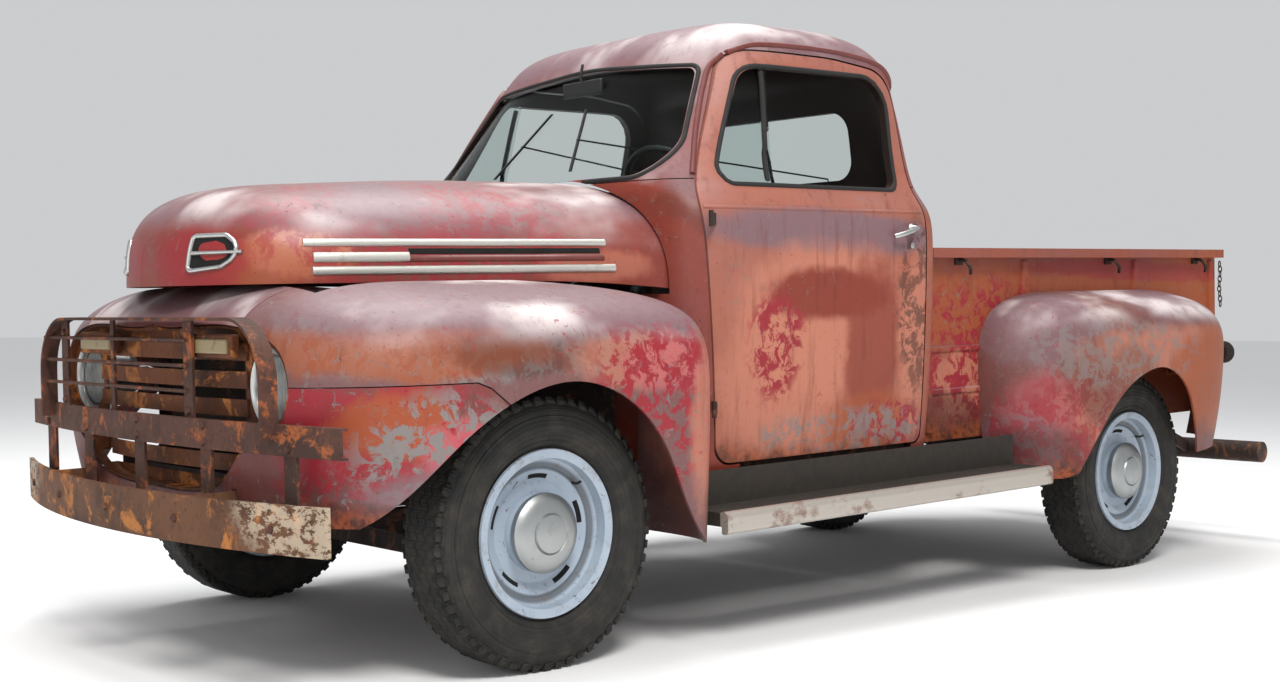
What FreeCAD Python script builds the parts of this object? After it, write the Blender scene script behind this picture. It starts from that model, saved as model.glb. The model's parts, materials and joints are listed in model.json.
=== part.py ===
"""An old pickup truck: separate body panels, running gear, doors, hood, tailgate and steering.

Every size is in millimetres.  The truck faces -Y, +X is its own left and +Z is up.  While it is
drawn, Y is measured back from the front axle and Z up from the ground.  The frame rails and
everything bolted to them are drawn level and then tipped nose-down by the rake; the wheels and
axles stay level.  At the end the whole truck is shifted so that its origin is on the ground at the
centre of its bounding box.
"""
import FreeCAD, Part
import math
import os
import re
import Sketcher
from FreeCAD import Placement, Rotation, Vector

SIZES = """
Stance
wheelbase        2896   front axle to rear axle
body_rake         1.6   degrees nose-down of the frame and body over the axles
tyre_radius       370   loaded radius, which is also the axle height
tyre_width        185
rim_radius        208   bead seat
rim_width         140
front_track      1490   between the tyre centres
rear_track       1440
tyre_gap            3   tyre bead to rim
tyre_wall          16
drum_radius       150
hub_cap_radius    106
spindle_radius     20

Frame
rail_spacing      810   between the centres of the two frame rails
rail_width         50
rail_bottom       430
rail_depth        140
rail_wall           6
rail_front       -620
rail_rear        3790

Steering and axles
kingpin_spacing  1240   between the two kingpin axes
kingpin_radius     14
axle_drop          60   beam below the wheel centres
beam_height        62
beam_width         50
steer_arm         150   kingpin to tie rod ball, to the rear
tie_rod_radius     13
axle_tube_radius   42
diff_radius       150
shaft_radius       35
running_gap         6   clearance kept beside moving pieces

Cab
firewall          581   front of the cowl below the hood
cowl_front        604   front of the cowl beside the hood
door_front        688
door_length      1022
cab_rear         1820
sill_height       490
belt_height      1262
glass_bottom     1352
glass_top        1678
screen_lean       255   how far the windshield's head lies behind its foot
door_top         1768
roof_height      1902
cab_half_width    775   at the belt
wall              28    cab wall from outer skin to lining
door_thickness     52
frame_thickness    26   door around its window
door_gap            6
panel_seam          3
hinge_stand        12   door hinge axis outside the widest skin
floor_height      580
glass_thickness     5

Front sheet metal
clip_half_width   955
clip_front       -757   middle of the nose at the crease
clip_rear         575
crease_height     787
valance_bottom    440
fender_tip        302
fender_top       1052
skin                8
hood_bottom      1050
hood_front       -728
hood_rear         676
hood_half_width   662   at the rear edge
hood_taper      0.177   half-width lost per unit length towards the nose
hood_peak        1368
hood_sweep        106   how far the rear edge's middle lies ahead of its sides
hood_gap           10   hood to cowl and fenders
hood_drop           8   more room under its rear corners, which dip as it opens
hinge_ahead        76   hood hinge axis ahead of the hood's rear corners
apron_offset      452   inner wheel-house panels from the centreline

Front face
grille_top        948
grille_bottom     498
grille_depth       92   face of the nose back to the grille plate
bar_count           5
bar_pitch        72.5
bar_top           875
bar_height         44
bar_half_length   445
lamp_offset       549
lamp_height       784
lamp_face        -648
lamp_radius        99

Bumpers
bumper_half       900
bumper_front     -868
bumper_bow        145
bumper_bottom     397
bumper_height     121
bumper_plate       14
crossbar_half     925
crossbar_front   -772
crossbar_bow       80
crossbar_bottom   628
crossbar_height    76
crossbar_depth     20
hoop_half         680
hoop_plane       -742   middle of the upright straps
hoop_top          966
hoop_corner       165
strap_width        50
strap_thickness     8
rod_radius          5
pipe_bumper_radius 45
pipe_bumper_half  740
pipe_bumper_back  240   behind the load bed

Load bed
bed_gap            22   cab to bed
bed_length       1980
bed_half_width    650   outside of the side panels
bed_floor         620
bed_floor_depth    30
bed_wall           10
wheel_box_width    52   wheel box inside the bed side
wheel_box_height   75   above the bed floor
wheel_box_half    270
bed_rail         1146
bed_bottom        470
rail_overhang      48
rail_section       34
tailgate_thickness 36
gate_step          10   tailgate's lower edge above the underside of the floor

Rear fenders and running boards
rear_half_width   955
rear_fender_top   985
rear_fender_front 755   ahead of the rear axle
rear_fender_rear  785   behind the rear axle
board_outer       935
board_inner       765
board_top         375
board_thickness    40
board_trim         62
apron_thickness     5

Inside
engine_width      520
engine_length     700
engine_bottom     500
engine_height     470
wheel_rim_radius  205   steering wheel
column_slope       32   degrees up from level
"""


def read_sizes(text):
    """Yield (group, name, value, note) for each line of the size list."""
    group = ""
    for line in text.strip().splitlines():
        found = re.match(r"(\w+)\s+(-?[\d.]+)\s*(.*)", line)
        if found:
            yield (group,) + found.groups()
        elif line.strip():
            group = line.strip()


doc = FreeCAD.newDocument("pickup_truck")
sheet = doc.addObject("Spreadsheet::Sheet", "Dims")
sheet.set("A1", "name")
sheet.set("B1", "value")
sheet.set("C1", "note")
NAMES = []
for row, (group, name, value, note) in enumerate(read_sizes(SIZES), start=2):
    sheet.set(f"A{row}", name)
    sheet.set(f"B{row}", value)
    sheet.set(f"C{row}", f"{group}: {note}" if note else group)
    sheet.setAlias(f"B{row}", name)
    NAMES.append(name)
doc.recompute()


class Sizes:
    """The sheet's values as attributes, for shapes that are worked out by formula."""


D = Sizes()
for name in NAMES:
    setattr(D, name, float(getattr(sheet, name)))

NAME_PATTERN = re.compile(r"\b(" + "|".join(sorted(NAMES, key=len, reverse=True)) + r")\b")


def bind(text):
    """Turn size names in an expression into cells of the sheet."""
    return NAME_PATTERN.sub(r"Dims.\1", str(text))


def value_of(text):
    """The number that an expression of size names gives now."""
    return float(sheet.evalExpression(bind(text)))


# ---------------------------------------------------------------- document helpers

nodes = {}          # Label -> document object
SPRUNG, LEVEL = "sprung", "level"
mountings = {}      # Label -> SPRUNG or LEVEL


def keep(obj, label, mounting=SPRUNG):
    """Make an object one of the truck's named sub-parts."""
    obj.Label = label
    nodes[label] = obj
    mountings[label] = mounting
    return obj


def place(obj, x, y, z):
    for axis, text in zip("xyz", (x, y, z)):
        obj.setExpression(f"Placement.Base.{axis}", bind(text))


def box(x, y, z, name="Box"):
    """A box between two expressions along each axis."""
    obj = doc.addObject("Part::Box", name)
    for prop, (low, high) in zip(("Length", "Width", "Height"), (x, y, z)):
        obj.setExpression(prop, bind(f"({high})-({low})"))
    place(obj, x[0], y[0], z[0])
    return obj


TURN = {"X": Rotation(Vector(0, 1, 0), 90), "Y": Rotation(Vector(1, 0, 0), -90), "Z": Rotation()}


def rod(axis, start, length, radius, name="Rod"):
    """A cylinder along +X, +Y or +Z from a start point."""
    obj = doc.addObject("Part::Cylinder", name)
    obj.Placement = Placement(Vector(), TURN[axis])
    obj.setExpression("Radius", bind(radius))
    obj.setExpression("Height", bind(length))
    place(obj, *start)
    return obj


def cone(axis, start, length, radius_start, radius_end, name="Cone"):
    obj = doc.addObject("Part::Cone", name)
    obj.Placement = Placement(Vector(), TURN[axis])
    obj.setExpression("Radius1", bind(radius_start))
    obj.setExpression("Radius2", bind(radius_end))
    obj.setExpression("Height", bind(length))
    place(obj, *start)
    return obj


def fuse(parts, name="Fusion"):
    obj = doc.addObject("Part::MultiFuse", name)
    obj.Shapes = parts
    return obj


def cut(base, tools, name="Cut"):
    obj = doc.addObject("Part::Cut", name)
    obj.Base = base
    obj.Tool = tools[0] if len(tools) == 1 else fuse(tools, name + "Tools")
    return obj


def compound(parts, name="Group"):
    obj = doc.addObject("Part::Compound", name)
    obj.Links = parts
    return obj


def mirror(source, name="Mirror"):
    """The same piece on the other side of the truck."""
    obj = doc.addObject("Part::Mirroring", name)
    obj.Source = source
    obj.Normal = Vector(1, 0, 0)
    return obj


def both_sides(source, name="Pair"):
    return compound([source, mirror(source)], name)


def keep_pair(source, stem, mounting=SPRUNG):
    """Left and right sub-parts that mirror each other."""
    keep(compound([source]), f"{stem}_left", mounting)
    keep(mirror(source), f"{stem}_right", mounting)


def feature(shape, name="Shape"):
    """A shape worked out by formula from the sheet's values."""
    obj = doc.addObject("Part::Feature", name)
    obj.Shape = shape if shape.Placement.isIdentity() else Part.makeCompound([shape])
    return obj


def new_body(name):
    return doc.addObject("PartDesign::Body", name)


def sketch_polygon(body, plane, points, name="Outline"):
    """A closed polygon sketch whose corners are bound to the sheet."""
    sketch = body.newObject("Sketcher::SketchObject", name)
    origin_plane = next(f for f in body.Origin.OriginFeatures if f.Role == plane)
    sketch.AttachmentSupport = [(origin_plane, "")]
    sketch.MapMode = "FlatFace"
    corners = [Vector(value_of(u), value_of(v), 0) for u, v in points]
    count = len(corners)
    for index in range(count):
        sketch.addGeometry(Part.LineSegment(corners[index], corners[(index + 1) % count]), False)
    for index in range(count):
        sketch.addConstraint(Sketcher.Constraint("Coincident", index, 2, (index + 1) % count, 1))
    for index, (u, v) in enumerate(points):
        for kind, text, now in (("DistanceX", u, corners[index].x), ("DistanceY", v, corners[index].y)):
            number = sketch.addConstraint(Sketcher.Constraint(kind, -1, 1, index, 1, now))
            sketch.setExpression(f"Constraints[{number}]", bind(text))
    return sketch


def pad(body, plane, points, length, offset="0"):
    """A polygon in an origin plane, padded both ways about the plane moved by offset."""
    sketch = sketch_polygon(body, plane, points)
    sketch.setExpression("AttachmentOffset.Base.z", bind(offset))
    feature_pad = body.newObject("PartDesign::Pad", "Pad")
    feature_pad.Profile = sketch
    feature_pad.Midplane = True
    feature_pad.setExpression("Length", bind(length))
    return feature_pad


def revolve(body, plane, points, axis="H_Axis"):
    """A polygon turned about its sketch's horizontal or vertical axis."""
    sketch = sketch_polygon(body, plane, points)
    turned = body.newObject("PartDesign::Revolution", "Revolution")
    turned.Profile = sketch
    turned.ReferenceAxis = (sketch, [axis])
    turned.Angle = 360
    return turned


# ---------------------------------------------------------------- shape helpers

RAKE = math.radians(D.body_rake)


def to_body(y, z):
    """A level point beside the truck, in the raked frame's own coordinates."""
    return (y * math.cos(RAKE) + z * math.sin(RAKE), z * math.cos(RAKE) - y * math.sin(RAKE))


OUTLINE_COUNT = 76


def blunt_outline(z, half_width, front, rear, front_power, rear_power, waist, count=OUTLINE_COUNT):
    """Points round an outline seen from above, rounder at the end whose power is lower."""
    points = []
    for i in range(count):
        angle = 2 * math.pi * (i + 0.5) / count
        across, along = math.cos(angle), math.sin(angle)
        power = rear_power if along > 0 else front_power
        reach = (rear - waist) if along > 0 else (waist - front)
        scale = (abs(across) ** power + abs(along) ** power) ** (-1 / power)
        points.append(Vector(half_width * across * scale, waist + reach * along * scale, z))
    return points


def skinned(rows, periodic=True):
    """A solid inside a smooth surface whose control points are rows of outline points."""
    around, upward = len(rows[0]), len(rows)
    poles = [[row[i] for row in rows] for i in range(around)]
    if periodic:
        knots_around, mults_around = list(range(around + 1)), [1] * (around + 1)
    else:
        knots_around, mults_around = list(range(around - 2)), [4] + [1] * (around - 4) + [4]
    knots_up, mults_up = list(range(upward - 2)), [4] + [1] * (upward - 4) + [4]
    surface = Part.BSplineSurface()
    surface.buildFromPolesMultsKnots(poles, mults_around, mults_up, knots_around, knots_up, periodic, False, 3, 3)
    side = surface.toShape()
    faces = [side]
    ends = (surface.vIso(knots_up[0]).toShape(), surface.vIso(knots_up[-1]).toShape())
    if periodic:
        faces += [Part.Face(Part.Wire([edge])) for edge in ends]
    else:
        chords = [Part.LineSegment(row[-1], row[0]).toShape() for row in (rows[0], rows[-1])]
        faces += [Part.Face(Part.Wire([edge, chord])) for edge, chord in zip(ends, chords)]
        sides = [surface.uIso(knots_around[0]).toShape(), surface.uIso(knots_around[-1]).toShape()]
        faces.append(Part.makeRuledSurface(*sides))
    shell = Part.Shell(faces)
    shell.sewShape()
    solid = Part.Solid(shell)
    if solid.Volume < 0:
        solid.reverse()
    return solid


def stack(levels, inset, waist_share, shoulder):
    """A solid through outlines at rising levels, all drawn in by the inset.

    Above the shoulder the skin turns inwards, so there the inset also lowers the outlines.
    The lowest outline drops by the inset, which leaves a cut-out shell open at the bottom.
    """
    rows = []
    lowest, highest = levels[0][0], levels[-1][0]
    for z, half_width, front, rear, front_power, rear_power in levels:
        waist = front + waist_share * (rear - front)
        drop = inset * max(0, (z - shoulder) / (highest - shoulder)) ** 0.7 if z > lowest else inset
        rows.append(blunt_outline(z - drop, half_width - inset, front + inset, rear - inset,
                                  front_power, rear_power, waist))
    return skinned(rows)


def prism(points, axis, low, high):
    """A polygon or curve outline swept along one axis.

    For X the points are (y, z), for Y they are (x, z) and for Z they are (x, y).
    """
    make = {"X": lambda a, b: Vector(low, a, b), "Y": lambda a, b: Vector(a, low, b),
            "Z": lambda a, b: Vector(a, b, low)}[axis]
    sweep = {"X": Vector(high - low, 0, 0), "Y": Vector(0, high - low, 0), "Z": Vector(0, 0, high - low)}[axis]
    corners = [make(a, b) for a, b in points]
    return Part.Face(Part.makePolygon(corners + corners[:1])).extrude(sweep)


def curve_through(points, steps=6):
    """Points along a smooth open curve through a few given points."""
    curve = Part.BSplineCurve()
    curve.interpolate([Vector(a, b, 0) for a, b in points])
    first, last = curve.FirstParameter, curve.LastParameter
    count = steps * (len(points) - 1)
    return [(p.x, p.y) for p in (curve.value(first + (last - first) * i / count) for i in range(count + 1))]


def slab(x, y, z):
    """A plain box shape between two numbers along each axis."""
    return Part.makeBox(x[1] - x[0], y[1] - y[0], z[1] - z[0], Vector(x[0], y[0], z[0]))


def biggest(shape, count=1):
    """The largest solids of a shape, without slivers."""
    solids = sorted(shape.Solids, key=lambda s: -s.Volume)[:count]
    return solids[0] if count == 1 else Part.makeCompound(solids)


def rounded_prism(points, radii, axis, low, high):
    """A prism whose polygon corners are rounded by arcs of the given radii."""
    outline = []
    count = len(points)
    for i, (corner, radius) in enumerate(zip(points, radii)):
        here = Vector(*corner, 0)
        before = Vector(*points[i - 1], 0) - here
        after = Vector(*points[(i + 1) % count], 0) - here
        half = before.getAngle(after) / 2
        reach = radius / math.tan(half)
        start = here + before.normalize() * reach
        end = here + after.normalize() * reach
        bisector = (before + after).normalize()
        middle = here + bisector * (radius / math.sin(half) - radius)
        outline.append((start, middle, end))
    edges = []
    for i, (start, middle, end) in enumerate(outline):
        if radii[i] > 0:
            edges.append(Part.Arc(start, middle, end).toShape())
        following = outline[(i + 1) % count][0]
        if (following - end).Length > 0.01:
            edges.append(Part.LineSegment(end, following).toShape())
    face = Part.Face(Part.Wire(edges))
    solid = face.extrude(Vector(0, 0, high - low))
    return solid.transformed({
        "X": FreeCAD.Matrix(0, 0, 1, low, 1, 0, 0, 0, 0, 1, 0, 0, 0, 0, 0, 1),
        "Y": FreeCAD.Matrix(1, 0, 0, 0, 0, 0, -1, high, 0, 1, 0, 0, 0, 0, 0, 1),
        "Z": FreeCAD.Matrix(1, 0, 0, 0, 0, 1, 0, 0, 0, 0, 1, low, 0, 0, 0, 1)}[axis])


# ---------------------------------------------------------------- frame and running gear

def make_frame():
    """Two channel rails, open inwards, and five cross members."""
    half, wide, wall = "rail_spacing/2", "rail_width/2", "rail_wall"
    top = "rail_bottom+rail_depth"
    rail = new_body("Rail")
    pad(rail, "XZ_Plane", [
        (f"{half}-{wide}", "rail_bottom"), (f"{half}+{wide}", "rail_bottom"),
        (f"{half}+{wide}", top), (f"{half}-{wide}", top),
        (f"{half}-{wide}", f"{top}-{wall}"), (f"{half}+{wide}-{wall}", f"{top}-{wall}"),
        (f"{half}+{wide}-{wall}", f"rail_bottom+{wall}"), (f"{half}-{wide}", f"rail_bottom+{wall}"),
    ], "rail_rear-rail_front", "-(rail_rear+rail_front)/2")
    inner = f"{half}+{wide}-{wall}"
    members = []
    for at in ("rail_front+30", "cab_rear-500", "cab_rear-100", "wheelbase+330", "rail_rear-60"):
        members.append(box((f"-({inner})", inner), (at, f"{at}+60"),
                           (f"rail_bottom+{wall}", f"{top}-{wall}-30"), "CrossMember"))
    keep(fuse([rail, mirror(rail)] + members, "Frame"), "chassis_frame")


def make_front_axle():
    """A dropped beam with a boss for each kingpin."""
    low = "tyre_radius-axle_drop-beam_height"
    high = "tyre_radius-axle_drop"
    end = "kingpin_spacing/2"
    beam = new_body("Beam")
    pad(beam, "XZ_Plane", [
        (f"-({end}-60)", low), (f"{end}-60", low), (f"{end}-20", f"{low}+25"), (f"{end}-20", f"{high}+30"),
        (f"{end}-70", high), (f"-({end}-70)", high), (f"-({end}-20)", f"{high}+30"),
        (f"-({end}-20)", f"{low}+25"),
    ], "beam_width")
    bosses = [rod("Z", (f"{side}*{end}", "0", f"{low}+25"), f"({high}+30)-({low}+25)", "kingpin_radius+14", "Boss")
              for side in (-1, 1)]
    bores = [rod("Z", (f"{side}*{end}", "0", low), "beam_height+60", "kingpin_radius+1", "Bore")
             for side in (-1, 1)]
    keep(cut(fuse([beam] + bosses), bores, "FrontAxle"), "front_axle", LEVEL)


def make_knuckles():
    """A yoke around each axle end with the kingpin, the wheel spindle and a steering arm."""
    at = "kingpin_spacing/2"
    low, high = "tyre_radius-axle_drop-beam_height+25", "tyre_radius-axle_drop+30"
    plate, depth = "kingpin_radius+22", "18"
    pin = rod("Z", (at, "0", f"{low}-30"), f"({high})-({low})+54", "kingpin_radius", "Kingpin")
    ears = []
    for bottom in (f"{low}-30", f"{high}+4"):
        ears.append(rod("Z", (at, "0", bottom), "20", "kingpin_radius+16", "Ear"))
        ears.append(box((at, f"{at}+{plate}+{depth}"), ("-24", "24"), (bottom, f"{bottom}+20"), "EarWeb"))
    upright = box((f"{at}+{plate}", f"{at}+{plate}+{depth}"), ("-24", "24"), (f"{low}-30", f"{high}+24"), "Upright")
    spindle = rod("X", (f"{at}+{plate}", "0", "tyre_radius"), f"front_track/2-({at})-({plate})+36",
                  "spindle_radius", "Spindle")
    arm = box((f"{at}-12", f"{at}+12"), ("0", "steer_arm+14"), (f"{low}-30", f"{low}-14"), "SteeringArm")
    left = fuse([pin] + ears + [upright, spindle, arm], "Knuckle")
    keep_pair(left, "steering_knuckle", LEVEL)


def make_tie_rod():
    """A rod under the ends of the steering arms, with a ball socket at each end."""
    at, low = "kingpin_spacing/2", "tyre_radius-axle_drop-beam_height+25-30"
    drop = "(tie_rod_radius+8)"
    bar = rod("X", (f"-({at})", "steer_arm", f"{low}-{drop}"), f"2*({at})", "tie_rod_radius", "TieRod")
    sockets = [rod("Z", (f"{side}*{at}", "steer_arm", f"{low}-{drop}-20"), f"{drop}+18", "18", "Socket")
               for side in (-1, 1)]
    keep(fuse([bar] + sockets, "TieRodSet"), "tie_rod", LEVEL)


def make_rear_axle():
    """The axle tubes with the round final-drive housing."""
    tube = rod("X", ("-(rear_track/2-40)", "wheelbase", "tyre_radius"), "rear_track-80", "axle_tube_radius", "AxleTube")
    spindle = rod("X", ("-(rear_track/2+36)", "wheelbase", "tyre_radius"), "rear_track+72", "spindle_radius", "AxleShaft")
    case = rod("X", ("-50", "wheelbase", "tyre_radius"), "100", "diff_radius", "FinalDrive")
    sides = [cone("X", ("50", "wheelbase", "tyre_radius"), "120", "diff_radius*0.8", "axle_tube_radius", "Bell"),
             cone("X", ("-170", "wheelbase", "tyre_radius"), "120", "axle_tube_radius", "diff_radius*0.8", "Bell")]
    keep(fuse([tube, spindle, case] + sides, "RearAxle"), "rear_axle", LEVEL)


def make_springs():
    """Semi-elliptic leaf packs between the rails and the axles."""
    packs = []
    springs = (("FrontSpring", 0.0, 430, 36, 4), ("RearSpring", D.wheelbase, 600, 44, 6))
    for name, middle_y, half, height, leaves in springs:
        y_mid, z_axle = to_body(middle_y, D.tyre_radius)
        seat = z_axle - D.axle_drop + 4 if middle_y == 0 else z_axle + D.axle_tube_radius + 4
        rise = D.rail_bottom - 8 - seat
        thick = rise / leaves * 0.5
        outline = [(y_mid - half, D.rail_bottom - 8), (y_mid - half, D.rail_bottom - 8 - thick)]
        for leaf in range(1, leaves):
            reach = half * (1 - leaf / leaves)
            drop = rise - (rise - thick) * (reach / half) ** 2
            outline.append((y_mid - reach, D.rail_bottom - 8 - drop * (leaf / leaves) ** 0.3))
        outline += [(2 * y_mid - y, z) for y, z in reversed(outline)]
        solid = prism(outline, "X", D.rail_spacing / 2 - 22, D.rail_spacing / 2 + 22)
        packs.append(feature(solid, name))
    keep(compound([both_sides(pack) for pack in packs], "Springs"), "leaf_springs")


def tyre_outline():
    half, tread = "tyre_width/2", "tyre_radius"
    bead, wall = "rim_radius+tyre_gap", "tyre_wall"
    seat = "rim_width/2-tyre_gap"
    outer = [(seat, bead), (seat, "rim_radius+24"), (f"{half}-10", "rim_radius+36"), (half, f"rim_radius+84"),
             (f"{half}-5", f"{tread}-36"), (f"{half}-24", f"{tread}-7"), (f"{half}-40", tread)]
    inner = [(f"{seat}-{wall}", bead), (f"{seat}-{wall}", "rim_radius+34"), (f"{half}-10-{wall}", "rim_radius+50"),
             (f"{half}-{wall}", "rim_radius+84"), (f"{half}-16-{wall}", f"{tread}-40"), (f"{half}-60", f"{tread}-26")]
    mirrored_outer = [(f"-({x})", r) for x, r in outer]
    mirrored_inner = [(f"-({x})", r) for x, r in inner]
    return outer + mirrored_outer[::-1] + mirrored_inner + inner[::-1]


def wheel_outline():
    """Half section of the rim, disc, hub cap and brake drum; +X is outboard."""
    edge, seat, cap, drum = "rim_width/2", "rim_radius", "hub_cap_radius", "drum_radius"
    return [
        ("74", "0"), ("71", f"{cap}*0.38"), ("62", f"{cap}*0.66"), ("48", f"{cap}*0.80"), ("45", f"{cap}*0.93"),
        ("32", cap), ("24", f"{cap}+2"), ("18", f"{cap}+32"), ("32", f"{seat}-40"), ("30", f"{seat}-30"),
        (f"{edge}-28", f"{seat}-8"), (f"{edge}+5", f"{seat}-6"), (f"{edge}+9", f"{seat}+18"),
        (f"{edge}+2", f"{seat}+20"),
        (edge, seat), (f"{edge}-32", f"{seat}-2"), (f"{edge}-48", f"{seat}-24"), (f"-({edge}-44)", f"{seat}-24"),
        (f"-({edge}-30)", f"{seat}-2"), (f"-({edge})", seat), (f"-({edge}+2)", f"{seat}+20"),
        (f"-({edge}+9)", f"{seat}+18"),
        (f"-({edge}+5)", f"{seat}-6"), (f"-({edge}-26)", f"{seat}-8"), (f"-({edge}-40)", f"{seat}-30"),
        ("20", f"{seat}-30"), ("22", f"{seat}-42"), ("11", f"{drum}-6"), ("4", drum), ("-34", drum),
        ("-34", "spindle_radius+2"), ("42", "spindle_radius+2"), ("42", "0"),
    ]


def make_wheels():
    """Four tyres on pressed wheels with hub caps; each right-hand one mirrors the left."""
    for end, across, along in (("front", "front_track/2", "0"), ("rear", "rear_track/2", "wheelbase")):
        for kind, outline in (("tyre", tyre_outline()), ("wheel", wheel_outline())):
            body = new_body(kind.capitalize())
            revolve(body, "XY_Plane", outline)
            place(body, across, along, "tyre_radius")
            keep_pair(compound([body], kind), f"{kind}_{end}", LEVEL)


def make_drive_line():
    """The engine as one plain block, the gearbox and the open shaft to the rear axle."""
    block = box(("-engine_width/2", "engine_width/2"), ("firewall-100-engine_length", "firewall-100"),
                ("engine_bottom", "engine_bottom+engine_height"), "Engine")
    keep(compound([block], "EngineBlock"), "engine_block")
    case = box(("-110", "110"), ("firewall-94", "firewall+480"), ("floor_height-200", "floor_height-22"), "Gearbox")
    y_end, z_end = to_body(D.wheelbase - D.diff_radius - 10, D.tyre_radius)
    start = Vector(0, D.firewall + 480, D.floor_height - 165)
    along = Vector(0, y_end, z_end) - start
    shaft = feature(Part.makeCylinder(D.shaft_radius, along.Length, start, along), "Shaft")
    keep(fuse([case, shaft], "DriveLine"), "gearbox_and_drive_shaft")
    core = box(("-300", "300"), ("clip_front+240", "clip_front+300"), ("engine_bottom+10", "hood_bottom-60"), "Core")
    keep(compound([core], "Radiator"), "radiator")
    x_pipe = D.rail_spacing / 2 + D.rail_width / 2 + 70
    muffler = rod("Y", (str(x_pipe + 20), "cab_rear-420", "rail_bottom-90"), "560", "72", "Muffler")
    pipe = rod("Y", (str(x_pipe + 20), "firewall+100", "rail_bottom-90"), "cab_rear-firewall+420", "24", "Pipe")
    keep(fuse([muffler, pipe], "ExhaustSet"), "exhaust")


# ---------------------------------------------------------------- cab

DOOR_REAR = D.door_front + D.door_length
CAB_MIDDLE = 1200
CAB_WAIST = 0.5


def cab_levels():
    """Height, half-width, front, rear, front and rear power of the cab's skin, from the sills up."""
    half, front, rear, roof = D.cab_half_width, D.firewall, D.cab_rear, D.roof_height
    screen_foot = D.cowl_front - 22
    screen_head = screen_foot + D.screen_lean
    lean = D.screen_lean / (D.glass_top - D.glass_bottom)
    rows = [
        (D.sill_height - 20, half - 34, front, rear - 22, 9, 18),
        (D.sill_height + 200, half - 14, front, rear - 6, 9, 18),
        (D.belt_height - 210, half - 1, front + 16, rear, 9, 18),
        (D.belt_height - 40, half, D.cowl_front, rear, 9, 18),
        (D.belt_height + 22, half - 18, D.cowl_front, rear - 4, 8, 16),
        (D.glass_bottom - 6, half - 66, screen_foot, rear - 16, 6, 14)]
    for share in (0.30, 0.66, 1.0):
        z = D.glass_bottom + share * (D.glass_top - D.glass_bottom)
        rows.append((z, half - 74 - 52 * share, screen_foot + lean * (z - D.glass_bottom),
                     rear - 20 - 46 * share ** 2, 5, 13))
    crown = roof - D.glass_top
    for share, side, ahead, back, power in (
            (0.335, 140, 42, 62, 11), (0.62, 178, 82, 96, 9), (0.848, 236, 146, 156, 7),
            (0.964, 320, 230, 236, 5.5), (1.0, 440, 340, 350, 4.5)):
        z = D.glass_top + share * crown
        rows.append((z, half - side, screen_head + ahead, rear - back, 4.5, power))
    return rows


def cab_stack(inset):
    return stack(cab_levels(), inset, CAB_WAIST, D.glass_top)


def door_outline(margin):
    """The door seen from the side, grown all round by the margin."""
    front, rear = D.door_front - margin, DOOR_REAR + margin
    low, high = D.sill_height - margin, D.door_top + margin
    points = [(front + 44, low), (rear - 14, low), (rear, D.belt_height), (rear - 18, high - 32), (rear - 310, high),
              (front + 273, high), (front + 2, D.belt_height + 27)]
    return points, [60, 40, 400, 130, 900, 130, 200]


def window_outline(margin):
    """The door window's opening, seen from the side."""
    low, high = D.glass_bottom - 10 - margin, D.glass_top + 36 + margin
    front, rear = D.door_front + 94 - margin, DOOR_REAR - 90 + margin
    points = [(front, low), (rear, low), (rear + 28, high), (front + 203, high - 2)]
    return points, [45, 50, 110, 100]


def screen_outline():
    """The windshield's opening seen from the front, with its arched head."""
    low, half_low, half_high = D.glass_bottom + 16, D.cab_half_width - 153, D.cab_half_width - 267
    points = [(-half_low, low), (half_low, low), (half_high, D.glass_top + 38), (0, D.glass_top + 79),
              (-half_high, D.glass_top + 38)]
    return points, [100, 100, 45, 1500, 45]


def rear_window_outline():
    half, low, high = 400, D.glass_bottom + 46, D.glass_top - 40
    return [(-half, low), (half, low), (half, high), (-half, high)], [70] * 4


def over_the_rails(rear):
    """The space that the two frame rails and the gearbox between them pass through."""
    half = (D.rail_spacing + D.rail_width) / 2 + D.running_gap
    return slab((-half, half), (0, rear), (0, D.rail_bottom + D.rail_depth + 4))


def steering_column(radius):
    slope = math.radians(D.column_slope)
    along = Vector(0, math.cos(slope), math.sin(slope))
    return Part.makeCylinder(radius, 520, steering_centre() - along * 560, along)


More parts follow.
